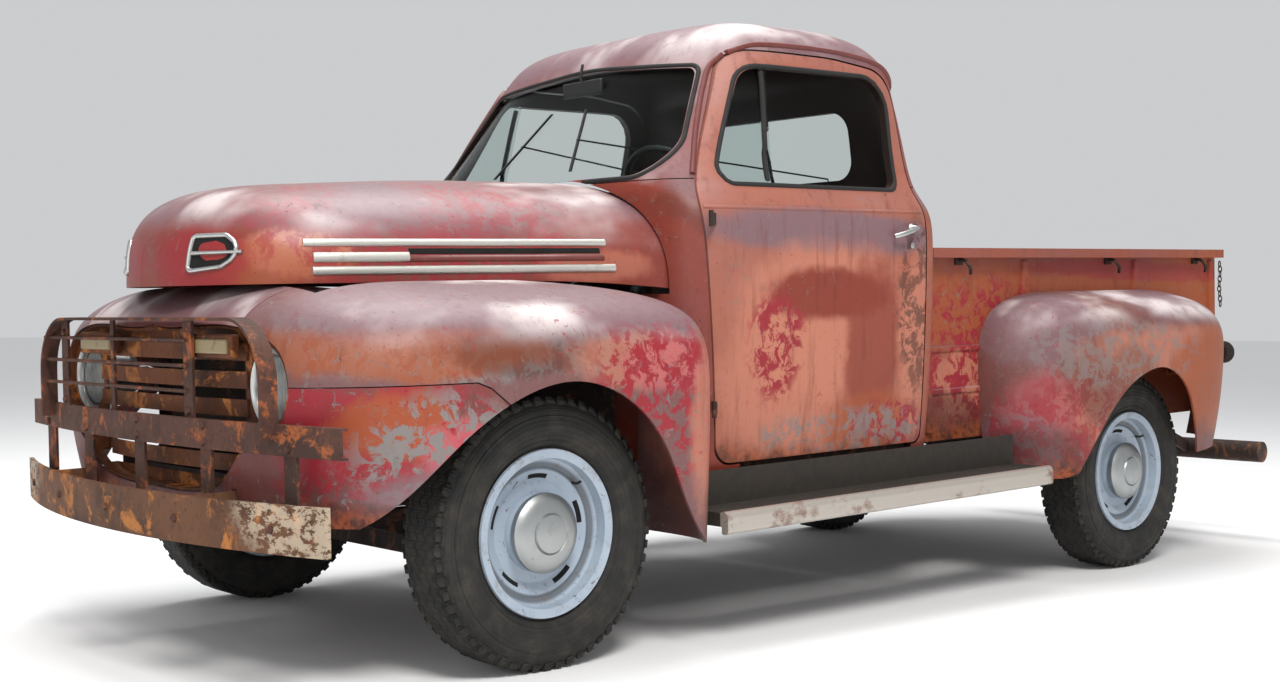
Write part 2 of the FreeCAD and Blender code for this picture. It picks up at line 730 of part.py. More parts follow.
def make_cab():
    outer = cab_stack(0)
    shell = outer.cut(cab_stack(D.wall))
    far, behind = 2 * D.cab_half_width, D.cab_rear + 50
    inner_x = D.cab_half_width - 240
    doorway = rounded_prism(*door_outline(D.door_gap), "X", inner_x - 2 * D.door_gap, far)
    doorway = doorway.fuse(rounded_prism(*door_outline(D.door_gap), "X", -far, 2 * D.door_gap - inner_x))
    shell = shell.cut(doorway).cut(over_the_rails(behind))
    screen = rounded_prism(*screen_outline(), "Y", 0, D.cowl_front + D.screen_lean + 90)
    back = rounded_prism(*rear_window_outline(), "Y", CAB_MIDDLE, behind)
    shell = shell.cut(screen).cut(back)
    bottom, split = D.sill_height - 20, D.glass_bottom - D.panel_seam
    cowl = shell.common(slab((-far, far), (0, D.door_front + 140), (bottom, split)))
    plate_back = D.door_front - D.door_gap - 2
    bulkhead = cab_stack(D.wall / 2).common(slab((-D.hood_half_width, D.hood_half_width), (plate_back - 10, plate_back),
                                                 (D.floor_height + 1, D.glass_bottom - 40)))
    room = hood_stack(-D.hood_gap)
    dip = room.copy()
    dip.translate(Vector(0, 0, -D.hood_drop))
    cowl = cowl.fuse(bulkhead).cut(room).cut(dip).cut(steering_column(COLUMN_RADIUS + 2))
    roof = shell.common(slab((-far, far), (0, behind), (D.glass_bottom, D.roof_height + 50))).cut(room)
    rear = shell.common(slab((-far, far), (DOOR_REAR - 60, behind), (bottom, split)))
    keep(feature(biggest(cowl), "Cowl"), "cab_cowl")
    keep(feature(biggest(roof), "Roof"), "cab_roof")
    keep(feature(biggest(rear), "CabBack"), "cab_back_panel")
    pane = cab_stack((D.wall - D.glass_thickness) / 2).cut(cab_stack((D.wall + D.glass_thickness) / 2))
    pane = pane.cut(doorway)
    glass = [biggest(pane.common(screen)), biggest(pane.common(back))]
    keep(feature(Part.makeCompound(glass), "CabGlass"), "cab_glass")
    inner = cab_stack(D.wall + 1)
    floor = inner.common(slab((-far, far), (0, D.cab_rear), (D.floor_height - 8, D.floor_height)))
    sills = inner.common(slab((-far, far), (D.firewall + 40, D.cab_rear - 40), (bottom, D.floor_height - 8)))
    beside_doors = doorway.cut(cab_stack(D.door_thickness + D.door_gap))
    floor = floor.fuse(sills.cut(over_the_rails(behind))).removeSplitter().cut(beside_doors)
    keep(feature(biggest(floor), "Floor"), "cab_floor")


def make_doors():
    """Each door is one solid, thinner round its window, with a pivoting vent pane on a bar."""
    far = 2 * D.cab_half_width
    inner_x = D.cab_half_width - 240
    side = rounded_prism(*door_outline(0), "X", inner_x, far)
    outer = cab_stack(0)
    split = D.glass_bottom - 20
    body = outer.cut(cab_stack(D.door_thickness)).common(side).common(slab((0, far), (0, D.cab_rear), (0, split)))
    frame = outer.cut(cab_stack(D.frame_thickness)).common(side)
    frame = frame.common(slab((0, far), (0, D.cab_rear), (split, D.roof_height)))
    window = rounded_prism(*window_outline(0), "X", inner_x, far)
    door = biggest(body.fuse(frame).removeSplitter().cut(window))
    keep_pair(feature(door, "Door"), "door")
    depth, half_bar = D.frame_thickness / 2, 9
    low, high = D.glass_bottom - 20, D.glass_top + 60
    foot, head = D.door_front + 332, D.door_front + 384
    post = prism([(foot - half_bar, low), (foot + half_bar, low), (head + half_bar, high), (head - half_bar, high)],
                 "X", 0, far)
    ahead = prism([(0, low), (foot, low), (head, high), (0, high)], "X", 0, far)
    pane = cab_stack(depth - D.glass_thickness / 2).cut(cab_stack(depth + D.glass_thickness / 2))
    band = cab_stack(depth - half_bar).cut(cab_stack(depth + half_bar)).common(window).common(post)
    vent = biggest(pane.common(window).common(ahead).fuse(band).removeSplitter())
    keep_pair(feature(vent, "VentWindow"), "vent_window")


# ---------------------------------------------------------------- front sheet metal

CLIP_WAIST = 0.65
CLIP_POWERS = (3.8, 13.0)     # nose, rear


def clip_levels():
    """Height, half-width, front and rear of the fenders and nose from the fender tips to the hood."""
    half, front, rear, crease, top = D.clip_half_width, D.clip_front, D.clip_rear, D.crease_height, D.fender_top
    rise = top - crease
    rows = [(D.fender_tip, half - 6, front + 96, rear - 22), (D.valance_bottom, half - 8, front + 52, rear - 8),
            (D.valance_bottom + 130, half - 5, front + 20, rear - 2), (crease - 80, half - 1, front + 4, rear)]
    for share, side, ahead, back in ((0, 0, 0, 0), (0.30, 9, 6, 4), (0.54, 40, 24, 18), (0.71, 92, 58, 58),
                                     (0.85, 172, 104, 140), (0.95, 278, 162, 290), (1.0, 380, 222, 440)):
        rows.append((crease + share * rise, half - side, front + ahead, rear - back))
    return [row + CLIP_POWERS for row in rows]


def clip_stack(inset):
    return stack(clip_levels(), inset, CLIP_WAIST, D.crease_height)


def wheel_arch():
    """The front arch and the swept-up bottom edges, seen from the side: what is cut away."""
    top = D.crease_height - 5
    arch = curve_through([(-560, D.valance_bottom), (-470, top - 262), (-330, top - 128), (-190, top - 42), (13, top),
                          (200, top - 62), (330, top - 196), (420, top - 382), (496, D.fender_tip)])
    return [(-1200, D.valance_bottom)] + arch + [(496, 0), (-1200, 0)]


def nose_opening(margin):
    """Half of the opening for grille and lamps, seen from the front, and its mirror image."""
    top, low = D.grille_top + margin, D.grille_bottom - margin
    lamp_x, lamp_z, reach = D.lamp_offset, D.lamp_height, D.lamp_radius + 26 + margin
    right = curve_through([(0, top), (0.62 * lamp_x, top), (lamp_x - 30, lamp_z + reach + 22),
                           (lamp_x + 0.80 * reach, lamp_z + 0.66 * reach), (lamp_x + reach, lamp_z - 10),
                           (lamp_x + 0.62 * reach, lamp_z - 0.82 * reach), (lamp_x - 0.45 * reach, lamp_z - 1.32 * reach),
                           (0.72 * lamp_x, low + 46), (0.45 * lamp_x, low + 4), (0, low)])
    left = [(-x, z) for x, z in reversed(right[1:-1])]
    return right + left


def make_front_clip():
    shell = clip_stack(0).cut(clip_stack(D.skin))
    far = 1.2 * D.clip_half_width
    below = prism(wheel_arch(), "X", -far, far)
    opening = prism(nose_opening(0), "Y", D.clip_front - 60, D.clip_front + 330)
    shell = shell.cut(below).cut(opening)
    crease, seam = D.crease_height, D.panel_seam
    lid_half = 0.60 * D.clip_half_width
    under_hood = slab((-lid_half, lid_half), (D.clip_front + 216, D.clip_rear + 20), (0, 2 * crease))
    shell = shell.cut(under_hood)
    nose_half = 462
    nose_zone = slab((-nose_half, nose_half), (D.clip_front - 60, 0), (crease + 60, 2 * crease))
    nose_gap = slab((-nose_half - seam, nose_half + seam), (D.clip_front - 60, 0), (crease + 60, 2 * crease))
    lower_edge = [(-1200, crease), (-300, crease + 4), (-262, crease - 12), (-196, crease - 66), (-196, 0), (-1200, 0)]
    lower_zone = prism(lower_edge, "X", -far, far)
    lower_gap = prism([(y + (seam if y > -1000 else 0), z + (seam if z else 0)) for y, z in lower_edge], "X", -far, far)
    keep(feature(biggest(shell.common(nose_zone)), "NosePanel"), "nose_panel")
    lower = shell.common(lower_zone)
    for iron in bumper_irons(D.running_gap):
        lower = lower.cut(iron)
    keep(feature(biggest(lower), "LowerPanel"), "lower_front_panel")
    upper = shell.cut(lower_gap).cut(nose_gap).cut(hood_stack(-D.hood_gap))
    fenders = biggest(upper, 2)
    splash = []
    for side in (-1, 1):
        near, far_x = sorted((side * D.apron_offset, side * (D.apron_offset + 5)))
        plate = slab((near, far_x), (D.clip_front + 270, D.firewall - 6), (D.rail_bottom + D.rail_depth + 4, D.hood_bottom - 40))
        splash.append(plate)
    keep(feature(fenders, "Fenders"), "front_fenders")
    keep(feature(Part.makeCompound(splash), "WheelHouses"), "inner_wheel_houses")


def make_grille():
    """The dished plate in the nose with five bars across its window."""
    face, back = D.clip_front + 14, D.clip_front + D.grille_depth
    rim = prism(nose_opening(-4), "Y", face, back).cut(prism(nose_opening(-10), "Y", face - 10, back + 10))
    plate = prism(nose_opening(-4), "Y", back, back + 6)
    half, low, high = D.bar_half_length - 20, D.grille_bottom + 40, D.bar_top + 26
    window = rounded_prism([(-half, low), (half, low), (half, high), (-half, high)], [30] * 4, "Y", back - 20, back + 20)
    lamps = []
    for side in (-1, 1):
        centre = Vector(side * D.lamp_offset, back - 20, D.lamp_height)
        lamps.append(Part.makeCylinder(D.lamp_radius + 4, 60, centre, Vector(0, 1, 0)))
    surround = rim.fuse(plate).cut(window)
    for lamp in lamps:
        surround = surround.cut(lamp)
    front_envelope = clip_stack(6)
    surround = biggest(surround.common(front_envelope))
    keep(feature(surround, "Surround"), "grille_surround")
    bars = []
    for number in range(int(D.bar_count)):
        z = D.bar_top - number * D.bar_pitch
        half = D.bar_half_length - (0 if number < 4 else 60)
        bars.append(bowed_bar(half, back - 34, 26, z - D.bar_height / 2, D.bar_height, 6))
    keep(feature(Part.makeCompound(bars), "Bars"), "grille_bars")


def make_headlights():
    """A round shell with a rolled rim on each side, and the lens that it holds."""
    radius = D.lamp_radius
    shell_profile = [(radius - 12, 0), (radius, 0), (radius, 26), (radius - 6, 80), (radius - 40, 120), (0, 132),
                     (0, 124), (radius - 46, 112), (radius - 14, 76), (radius - 12, 26)]
    lens_profile = [(0, -16), (0.5 * radius, -11), (0.8 * radius, 0), (radius - 13, 9), (radius - 13, 15),
                    (0.8 * radius, 6), (0.5 * radius, -5), (0, -10)]
    shapes = []
    for profile in (shell_profile, lens_profile):
        corners = [Vector(r, y, 0) for r, y in profile]
        ring = Part.Face(Part.makePolygon(corners + corners[:1]))
        solid = ring.revolve(Vector(), Vector(0, 1, 0), 360)
        solid.translate(Vector(D.lamp_offset, D.lamp_face, D.lamp_height))
        shapes.append(solid)
    keep(both_sides(feature(shapes[0], "Lamp"), "Lamps"), "headlights")
    keep(both_sides(feature(shapes[1], "Lens"), "Lenses"), "headlight_lenses")


# ---------------------------------------------------------------- hood

def hood_arch(y, half, low, high, power=2.5, count=24):
    """Points of one section of the hood, from its left bottom edge over the ridge to the right."""
    points = []
    for i in range(count + 1):
        angle = math.pi * i / count
        across, up = math.cos(angle), math.sin(angle)
        scale = (abs(across) ** power + abs(up) ** power) ** (-1 / power)
        points.append(Vector(half * across * scale, y, low + (high - low) * up * scale))
    return points


def hood_stack(inset):
    sections = []
    nose_length, ridge_length = 250, 260
    ahead = [2, 8, 22, 48, 90, 150, 240, 400, 650, 900, 1160, D.hood_rear - D.hood_front]
    for d in ahead:
        y = D.hood_front + d + (inset if d < ahead[-1] else abs(inset))
        taper = D.hood_half_width - D.hood_taper * (D.hood_rear - y)
        closing = math.sqrt(max(0, 1 - max(0, 1 - d / nose_length) ** 2))
        rounding = math.sqrt(max(0, 1 - max(0, 1 - d / ridge_length) ** 2))
        peak = D.hood_peak - 38 * max(0, min(1, (100 - y) / 650))
        high = D.hood_bottom + 100 + (peak - D.hood_bottom - 100) * rounding
        sag = 34 * max(0, (y - 200) / 480) ** 2
        low = D.hood_bottom - sag - (5 * inset if inset > 0 else -inset)
        sections.append(hood_arch(y, taper * closing - inset, low, high - inset))
    return skinned(sections, periodic=False)


def make_hood():
    shell = hood_stack(0).cut(hood_stack(D.skin))
    behind = prism([(D.hood_rear + 60, 0), (D.hood_rear + 60, 2 * D.hood_peak), (D.hood_rear - D.hood_sweep, 2 * D.hood_peak),
                    (D.hood_rear - D.hood_sweep, D.hood_peak), (D.hood_rear - D.hood_sweep * 0.7, D.hood_peak - 22),
                    (D.hood_rear - 14, D.hood_peak - 110), (D.hood_rear, D.hood_peak - 170), (D.hood_rear, 0)],
                   "X", -D.clip_half_width, D.clip_half_width)
    keep(feature(biggest(shell.cut(behind)), "Hood"), "hood")


# ---------------------------------------------------------------- bumpers and guard

def bowed_bar(half, front, bow, low, height, depth):
    """A bar whose middle stands forward of its ends, seen from above as two arcs."""
    arcs = []
    for shift in (0, depth):
        end = front + bow + shift
        arcs.append((Vector(-half, end, low), Vector(0, front + shift, low), Vector(half, end, low)))
    (a, b, c), (d, e, f) = arcs
    edges = [Part.Arc(a, b, c), Part.LineSegment(c, f), Part.Arc(f, e, d), Part.LineSegment(d, a)]
    wire = Part.Wire([edge.toShape() for edge in edges])
    return Part.Face(wire).extrude(Vector(0, 0, height))


def bow_at(x, half, front, bow):
    """How far forward a bowed bar's front face lies at a distance from the middle."""
    radius = (half ** 2 + bow ** 2) / (2 * bow)
    return front + radius - math.sqrt(radius ** 2 - x ** 2)


def bumper_bar():
    return bowed_bar(D.bumper_half, D.bumper_front, D.bumper_bow, D.bumper_bottom, D.bumper_height, D.bumper_plate)


def bumper_irons(margin=0):
    """The two flat irons beside the frame rails, grown by a margin where a panel makes room for them."""
    irons = []
    for side in (-1, 1):
        x = side * ((D.rail_spacing + D.rail_width) / 2 + 4.5)
        y = bow_at(x, D.bumper_half, D.bumper_front, D.bumper_bow) + D.bumper_plate - 1
        irons.append(slab((x - 4 - margin, x + 4 + margin), (y, D.rail_front + 120),
                          (D.rail_bottom + 20 - margin, D.rail_bottom + 90 + margin)))
    return irons


def make_front_bumper():
    keep(feature(biggest(bumper_bar().multiFuse(bumper_irons())), "Bumper"), "front_bumper")


def make_guard():
    """A channel bar on posts above the bumper, with a strap hoop, upright straps and three rods."""
    half, front, bow, low = D.crossbar_half, D.crossbar_front, D.crossbar_bow, D.crossbar_bottom
    cross = bowed_bar(half, front, bow, low, D.crossbar_height, D.crossbar_depth)
    hollow = bowed_bar(half + 1, front + 6, bow, low + 6, D.crossbar_height - 12, D.crossbar_depth)
    pieces = [cross.cut(hollow)]
    top, foot = low + D.crossbar_height, D.bumper_bottom + 33
    for x in (-730, -365, 0, 365, 730):
        y = bow_at(x, half, front, bow) + 7
        y_bumper = bow_at(x, D.bumper_half, D.bumper_front, D.bumper_bow)
        pieces.append(slab((x - 30, x + 30), (y, y + D.strap_thickness), (foot, low + 5)))
        pieces.append(slab((x - 22, x + 22), (y_bumper, y + 1), (foot, foot + 60)))
    leg_y, strap, corner = D.hoop_plane, D.strap_thickness, D.hoop_corner
    outer = [(-D.hoop_half, top - 40), (D.hoop_half, top - 40), (D.hoop_half, D.hoop_top), (-D.hoop_half, D.hoop_top)]
    inner = [(math.copysign(abs(x) - strap, x), top - 45 if z < top else z - strap) for x, z in outer]
    hoop = rounded_prism(outer, [0, 0, corner, corner], "Y", leg_y - D.strap_width / 2, leg_y + D.strap_width / 2)
    hoop = hoop.cut(rounded_prism(inner, [0, 0, corner - strap, corner - strap], "Y", leg_y - 99, leg_y + 99))
    pieces.append(hoop)
    for x, wide in ((-540, 44), (-205, 22), (262, 50)):
        y_cross = bow_at(x, half, front, bow)
        pieces.append(slab((x - wide / 2, x + wide / 2), (leg_y - 4, leg_y + 4), (top - 5, D.hoop_top - 2)))
        near, back = sorted((y_cross + 2, leg_y))
        pieces.append(slab((x - wide / 2, x + wide / 2), (near, back + 4), (top - 5, top)))
    for number in range(3):
        start = Vector(-D.hoop_half + 2, leg_y - 4 - D.rod_radius + 1, D.hoop_top - 60 - number * 67)
        pieces.append(Part.makeCylinder(D.rod_radius, D.hoop_half + 262, start, Vector(1, 0, 0)))
    guard = pieces[0].multiFuse(pieces[1:]).cut(bumper_bar())
    keep(feature(biggest(guard), "Guard"), "grille_guard")


def make_rear_bumper():
    y = D.cab_rear + D.bed_gap + D.bed_length + D.pipe_bumper_back
    z = 268
    end = Vector(-D.pipe_bumper_half, y, z)
    pipe = Part.makeCylinder(D.pipe_bumper_radius, 2 * D.pipe_bumper_half, end, Vector(1, 0, 0))
    irons = []
    for side in (-1, 1):
        x = side * (D.rail_spacing / 2)
        outline = [(D.rail_rear - 160, D.rail_bottom), (D.rail_rear - 100, D.rail_bottom), (y + 10, z + 20), (y - 10, z - 30)]
        irons.append(prism(outline, "X", x - 8, x + 8))
    keep(feature(biggest(pipe.multiFuse(irons)), "PipeBumper"), "rear_bumper")


# ---------------------------------------------------------------- load bed, rear fenders, running boards

BED_FRONT = D.cab_rear + D.bed_gap
BED_REAR = BED_FRONT + D.bed_length


def make_bed():
    half, wall, floor = "bed_half_width", "bed_wall", "bed_floor"
    front, rear = "cab_rear+bed_gap", "cab_rear+bed_gap+bed_length"
    top, over = "bed_rail", "rail_overhang"
    edge, low = f"{half}-{wall}-1", f"{floor}-bed_floor_depth"
    deck = box((f"-({edge})", edge), (f"{front}+{wall}+1", rear), (low, floor), "Deck")
    y_axle, z_axle = to_body(D.wheelbase, D.tyre_radius)
    outsides, insides = [], []
    for side in (-1, 1):
        near, far = sorted((f"{side}*({edge}-wheel_box_width)", f"{side}*({edge})"), key=value_of)
        outsides.append(box((near, far), (f"{y_axle}-wheel_box_half", f"{y_axle}+wheel_box_half"),
                            (low, f"{floor}+wheel_box_height"), "WheelBox"))
        near, far = sorted((f"{side}*({edge}-wheel_box_width+5)", f"{side}*({edge}+5)"), key=value_of)
        insides.append(box((near, far), (f"{y_axle}-wheel_box_half+5", f"{y_axle}+wheel_box_half-5"),
                           (f"{low}-1", f"{floor}+wheel_box_height-5"), "WheelRoom"))
    keep(cut(fuse([deck] + outsides), insides, "BedDeck"), "bed_floor")
    panel = new_body("BedSide")
    pad(panel, "XZ_Plane", [
        (f"{half}-{wall}", "bed_bottom"), (half, "bed_bottom"), (half, f"{top}-rail_section"),
        (f"{half}+{over}", f"{top}-rail_section"), (f"{half}+{over}", top), (f"{half}-{wall}", top),
    ], "bed_length", f"-({front}+{rear})/2")
    arch = rod("X", (f"{half}-{wall}-50", str(y_axle), str(z_axle)), "100", "tyre_radius+25", "WheelArch")
    keep(both_sides(cut(panel, [arch], "BedPanel")), "bed_sides")
    head = box((f"-({edge})", edge), (front, f"{front}+{wall}"), ("rail_bottom+rail_depth+running_gap", top), "HeadPanel")
    keep(compound([head], "BedFront"), "bed_front_panel")
    gate_edge = f"{half}-{wall}-6"
    gate = box((f"-({gate_edge})", gate_edge), (f"{rear}+door_gap", f"{rear}+door_gap+tailgate_thickness"),
               (f"{low}+gate_step", f"{top}-10"), "Gate")
    keep(compound([gate], "Tailgate"), "tailgate")


def make_rear_fenders():
    """A pressed shell over each rear wheel, rounded in plan, with a flat crease line."""
    y_axle = to_body(D.wheelbase, D.tyre_radius)[0]
    inside, top, crease = D.bed_half_width + 1, D.rear_fender_top, D.crease_height
    middle = D.bed_half_width - 50
    half = D.rear_half_width - middle
    front, rear = y_axle - D.rear_fender_front, y_axle + D.rear_fender_rear
    rise = top - crease
    rows = [(D.fender_tip, half - 10, front + 60, rear - 130), (D.fender_tip + 180, half - 3, front + 10, rear - 40),
            (crease - 90, half, front, rear - 4)]
    for share, side, ahead, back in ((0, 0, 4, 0), (0.35, 14, 22, 26), (0.62, 50, 64, 84), (0.82, 112, 132, 170),
                                     (0.95, 190, 232, 300), (1.0, 240, 330, 420)):
        rows.append((crease + share * rise, half - side, front + ahead, rear - back))
    rows = [row + (3.0, 2.6) for row in rows]
    arch = curve_through([(y_axle - 505, 330), (y_axle - 385, 510), (y_axle - 262, 622), (y_axle - 120, 682),
                          (y_axle - 20, 694), (y_axle + 85, 668), (y_axle + 175, 600), (y_axle + 240, 480),
                          (y_axle + 275, 350)])
    low = D.fender_tip
    away = [(front - 100, low + 8), (y_axle - 560, low + 14)] + arch
    away += [(y_axle + 560, low + 52), (rear + 100, low + 120), (rear + 100, 0), (front - 100, 0)]
    shell = stack(rows, 0, 0.45, crease).cut(stack(rows, D.skin, 0.45, crease))
    shell.translate(Vector(middle, 0, 0))
    shell = shell.cut(prism(away, "X", -2 * half, 2 * D.rear_half_width))
    shell = shell.cut(slab((-inside, inside), (front - 50, rear + 50), (0, 2 * top)))
    keep(both_sides(feature(biggest(shell), "RearFender")), "rear_fenders")


def make_running_boards():
    """A flat tread with a rounded metal edge, and the apron up to the body."""
    front = D.clip_rear + 2
    y_axle = to_body(D.wheelbase, D.tyre_radius)[0]
    rear = y_axle - D.rear_fender_front + 40
    tread = slab((D.board_inner, D.board_outer - 20), (front, rear), (D.board_top - D.board_thickness, D.board_top))
    edge = rounded_prism([(D.board_outer - 26, D.board_top - D.board_trim), (D.board_outer, D.board_top - D.board_trim),
                          (D.board_outer, D.board_top + 4), (D.board_outer - 26, D.board_top + 4)], [6, 12, 20, 6], "Y", front, rear)
    apron = slab((D.board_inner, D.board_inner + D.apron_thickness), (front, rear), (D.board_top - 5, D.sill_height - 12))
    board = tread.multiFuse([edge, apron])
    keep(both_sides(feature(biggest(board), "Board")), "running_boards")


# ---------------------------------------------------------------- inside

COLUMN_RADIUS = 24


def steering_centre():
    return Vector(360, D.door_front + 250, D.glass_bottom - 60)


def make_interior():
    seat_top, half = D.floor_height + 290, 620
    cushion = rounded_prism([(CAB_MIDDLE - 60, D.floor_height + 120), (D.cab_rear - 110, D.floor_height + 100),
                             (D.cab_rear - 110, seat_top - 10), (CAB_MIDDLE - 90, seat_top + 40)],
                            [30, 20, 30, 60], "X", -half, half)
    back = rounded_prism([(D.cab_rear - 190, seat_top), (D.cab_rear - 70, seat_top), (D.cab_rear - 60, D.glass_bottom + 20),
                          (D.cab_rear - 130, D.glass_bottom + 20)], [40, 10, 20, 30], "X", -half, half)
    base = slab((-half + 60, half - 60), (CAB_MIDDLE, D.cab_rear - 140), (D.floor_height + 1, D.floor_height + 115))
    seat = cushion.multiFuse([back, base]).common(cab_stack(D.door_thickness + 12))
    keep(feature(biggest(seat), "Seat"), "seat")
    ahead = D.door_front - D.door_gap + 2
    dash = rounded_prism([(ahead, D.belt_height - 150), (ahead + 50, D.belt_height - 150),
                          (ahead + 80, D.glass_bottom - 50), (ahead, D.glass_bottom - 20)], [6, 20, 30, 6], "X", -604, 604)
    dash = dash.cut(steering_column(COLUMN_RADIUS + 2))
    keep(feature(biggest(dash), "Dashboard"), "dashboard")
    slope = math.radians(D.column_slope)
    along = Vector(0, math.cos(slope), math.sin(slope))
    centre = steering_centre()
    keep(feature(steering_column(COLUMN_RADIUS), "Column"), "steering_column")
    hub = Part.makeCylinder(32, 36, centre - along * 34, along)
    rim = Part.makeTorus(D.wheel_rim_radius, 11, centre + along * 6, along)
    side = Vector(1, 0, 0)
    up = along.cross(side)
    spokes = []
    for number in range(3):
        angle = math.radians(90 + 120 * number)
        direction = side * math.cos(angle) + up * math.sin(angle)
        spokes.append(Part.makeCylinder(8, D.wheel_rim_radius - 4, centre - along * 8,
                                        direction + along * (14 / D.wheel_rim_radius)))
    keep(feature(biggest(hub.multiFuse([rim] + spokes)), "SteeringWheel"), "steering_wheel")


# ---------------------------------------------------------------- build, settle and write

def settle():
    """Tip the sprung pieces by the rake, then bring the truck's middle to the origin."""
    doc.recompute()
    tip = Placement(Vector(), Rotation(Vector(1, 0, 0), D.body_rake))
    bounds = FreeCAD.BoundBox()
    for label, obj in nodes.items():
        shape = obj.Shape.copy()
        if mountings[label] == SPRUNG:
            shape.Placement = tip.multiply(shape.Placement)
        bounds.add(shape.optimalBoundingBox(False, False))
    centre = Placement(Vector(0, -(bounds.YMin + bounds.YMax) / 2, 0), Rotation())
    for label, obj in nodes.items():
        obj.Placement = centre.multiply(tip) if mountings[label] == SPRUNG else centre
    doc.recompute()
    return centre.Base.y, bounds


def check_and_write():
    faults = [f"{obj.Name} {obj.State}" for obj in doc.Objects if {"Invalid", "Error"} & set(obj.State)]
    for label, obj in nodes.items():
        shape = obj.Shape
        if shape.isNull() or not shape.Solids or not shape.isValid():
            faults.append(f"{label}: bad shape")
    if faults:
        raise SystemExit("\n".join(faults))
    os.makedirs("parts", exist_ok=True)
    for label, obj in nodes.items():
        obj.Shape.exportStep(f"parts/{label}.step")


def report_pivots(shift):
    """Print where each joint turns, in the finished truck's own frame."""
    tip = Placement(Vector(), Rotation(Vector(1, 0, 0), D.body_rake))
    slope = math.radians(D.column_slope)
    up, across = Vector(0, 0, 1), Vector(1, 0, 0)
    hinge_x = D.cab_half_width + D.hinge_stand
    gate_y = BED_REAR + D.door_gap
    gate_z = D.bed_floor - D.bed_floor_depth + D.gate_step
    pivots = {
        "door_left": (SPRUNG, Vector(hinge_x, D.door_front, D.belt_height), -up),
        "door_right": (SPRUNG, Vector(-hinge_x, D.door_front, D.belt_height), up),
        "hood": (SPRUNG, Vector(0, D.hood_rear - D.hinge_ahead, D.hood_peak + 2 * D.hood_gap), -across),
        "tailgate": (SPRUNG, Vector(0, gate_y, gate_z), -across),
        "steering_wheel": (SPRUNG, steering_centre(), Vector(0, math.cos(slope), math.sin(slope))),
        "knuckle_left": (LEVEL, Vector(D.kingpin_spacing / 2, 0, D.tyre_radius), up),
        "knuckle_right": (LEVEL, Vector(-D.kingpin_spacing / 2, 0, D.tyre_radius), up),
        "tie_rod": (LEVEL, Vector(D.kingpin_spacing / 2, D.steer_arm, D.tyre_radius - D.axle_drop - D.beam_height), up),
    }
    for end, track, y in (("front", D.front_track, 0), ("rear", D.rear_track, D.wheelbase)):
        for name, side in (("left", 1), ("right", -1)):
            pivots[f"wheel_{end}_{name}"] = (LEVEL, Vector(side * track / 2, y, D.tyre_radius), across)
    for name, (mounting, point, axis) in pivots.items():
        turn = tip if mounting == SPRUNG else Placement()
        point, axis = turn.multVec(point) + Vector(0, shift, 0), turn.Rotation.multVec(axis)
        print("pivot", name, *(round(c / 1000, 5) for c in point), *(round(c, 6) for c in axis))


for make in (make_frame, make_front_axle, make_knuckles, make_tie_rod, make_rear_axle, make_springs, make_wheels,
             make_drive_line, make_cab, make_doors, make_front_clip, make_grille, make_headlights, make_hood,
             make_front_bumper, make_guard, make_rear_bumper, make_bed, make_rear_fenders, make_running_boards,
             make_interior):
    make()
shift, bounds = settle()
check_and_write()
report_pivots(shift)
print(f"{len(nodes)} parts, shift {shift:.1f}, {bounds}")
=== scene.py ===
"""An old rusty pickup truck: paint, rust, glass, rubber and the small fittings over its fixed frame."""

import json
import math

import bmesh
import bpy
from bpy.props import FloatProperty, FloatVectorProperty, IntProperty, PointerProperty
from mathutils import Matrix, Vector
from mathutils.bvhtree import BVHTree


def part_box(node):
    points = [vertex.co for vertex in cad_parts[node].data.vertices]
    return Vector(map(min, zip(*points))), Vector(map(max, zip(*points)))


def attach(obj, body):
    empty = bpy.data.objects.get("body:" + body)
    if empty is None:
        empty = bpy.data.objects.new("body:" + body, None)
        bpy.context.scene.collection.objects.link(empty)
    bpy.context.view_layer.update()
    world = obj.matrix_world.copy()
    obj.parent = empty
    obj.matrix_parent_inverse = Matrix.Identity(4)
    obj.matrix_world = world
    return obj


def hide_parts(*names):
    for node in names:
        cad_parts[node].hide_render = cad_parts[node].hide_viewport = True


bl_info = {
    "name": "Old Pickup Truck",
    "version": (1, 0, 0),
    "blender": (4, 5, 0),
    "location": "View3D > Sidebar > Truck",
    "description": "Weathered paint, rust, glass, rubber and fittings for an old pickup truck",
    "category": "Object",
}

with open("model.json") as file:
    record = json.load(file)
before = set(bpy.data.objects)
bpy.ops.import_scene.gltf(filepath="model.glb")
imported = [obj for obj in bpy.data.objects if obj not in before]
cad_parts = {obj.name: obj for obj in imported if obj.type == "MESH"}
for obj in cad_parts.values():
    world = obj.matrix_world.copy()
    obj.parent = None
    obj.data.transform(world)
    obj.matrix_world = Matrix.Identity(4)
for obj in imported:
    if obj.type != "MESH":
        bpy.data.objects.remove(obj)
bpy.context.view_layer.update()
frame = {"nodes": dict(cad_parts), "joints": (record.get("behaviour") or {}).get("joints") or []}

NODES = frame["nodes"]
JOINTS = {joint["name"]: joint for joint in frame["joints"]}
AXLE = Vector((0, JOINTS["wheel_front_left_spin"]["pos_m"][1], 0))
UP = -Vector(JOINTS["door_left_hinge"]["axis"]).normalized()
BACK = Vector((0, UP.z, -UP.y))
SIDES = {"left": 1, "right": -1}
WHEELS = [(f"{end}_{side}", end, sign) for end in ("front", "rear") for side, sign in SIDES.items()]


def on_body(across, back, up):
    """A point measured on the truck's body: from its middle, back from the front axle, and up."""
    return AXLE + Vector((across, 0, 0)) + BACK * back + UP * up


# ---------------------------------------------------------------- settings in the sidebar

def tint(name, description, default):
    return FloatVectorProperty(name=name, description=description, default=default, subtype="COLOR", size=3, min=0,
                               max=1)


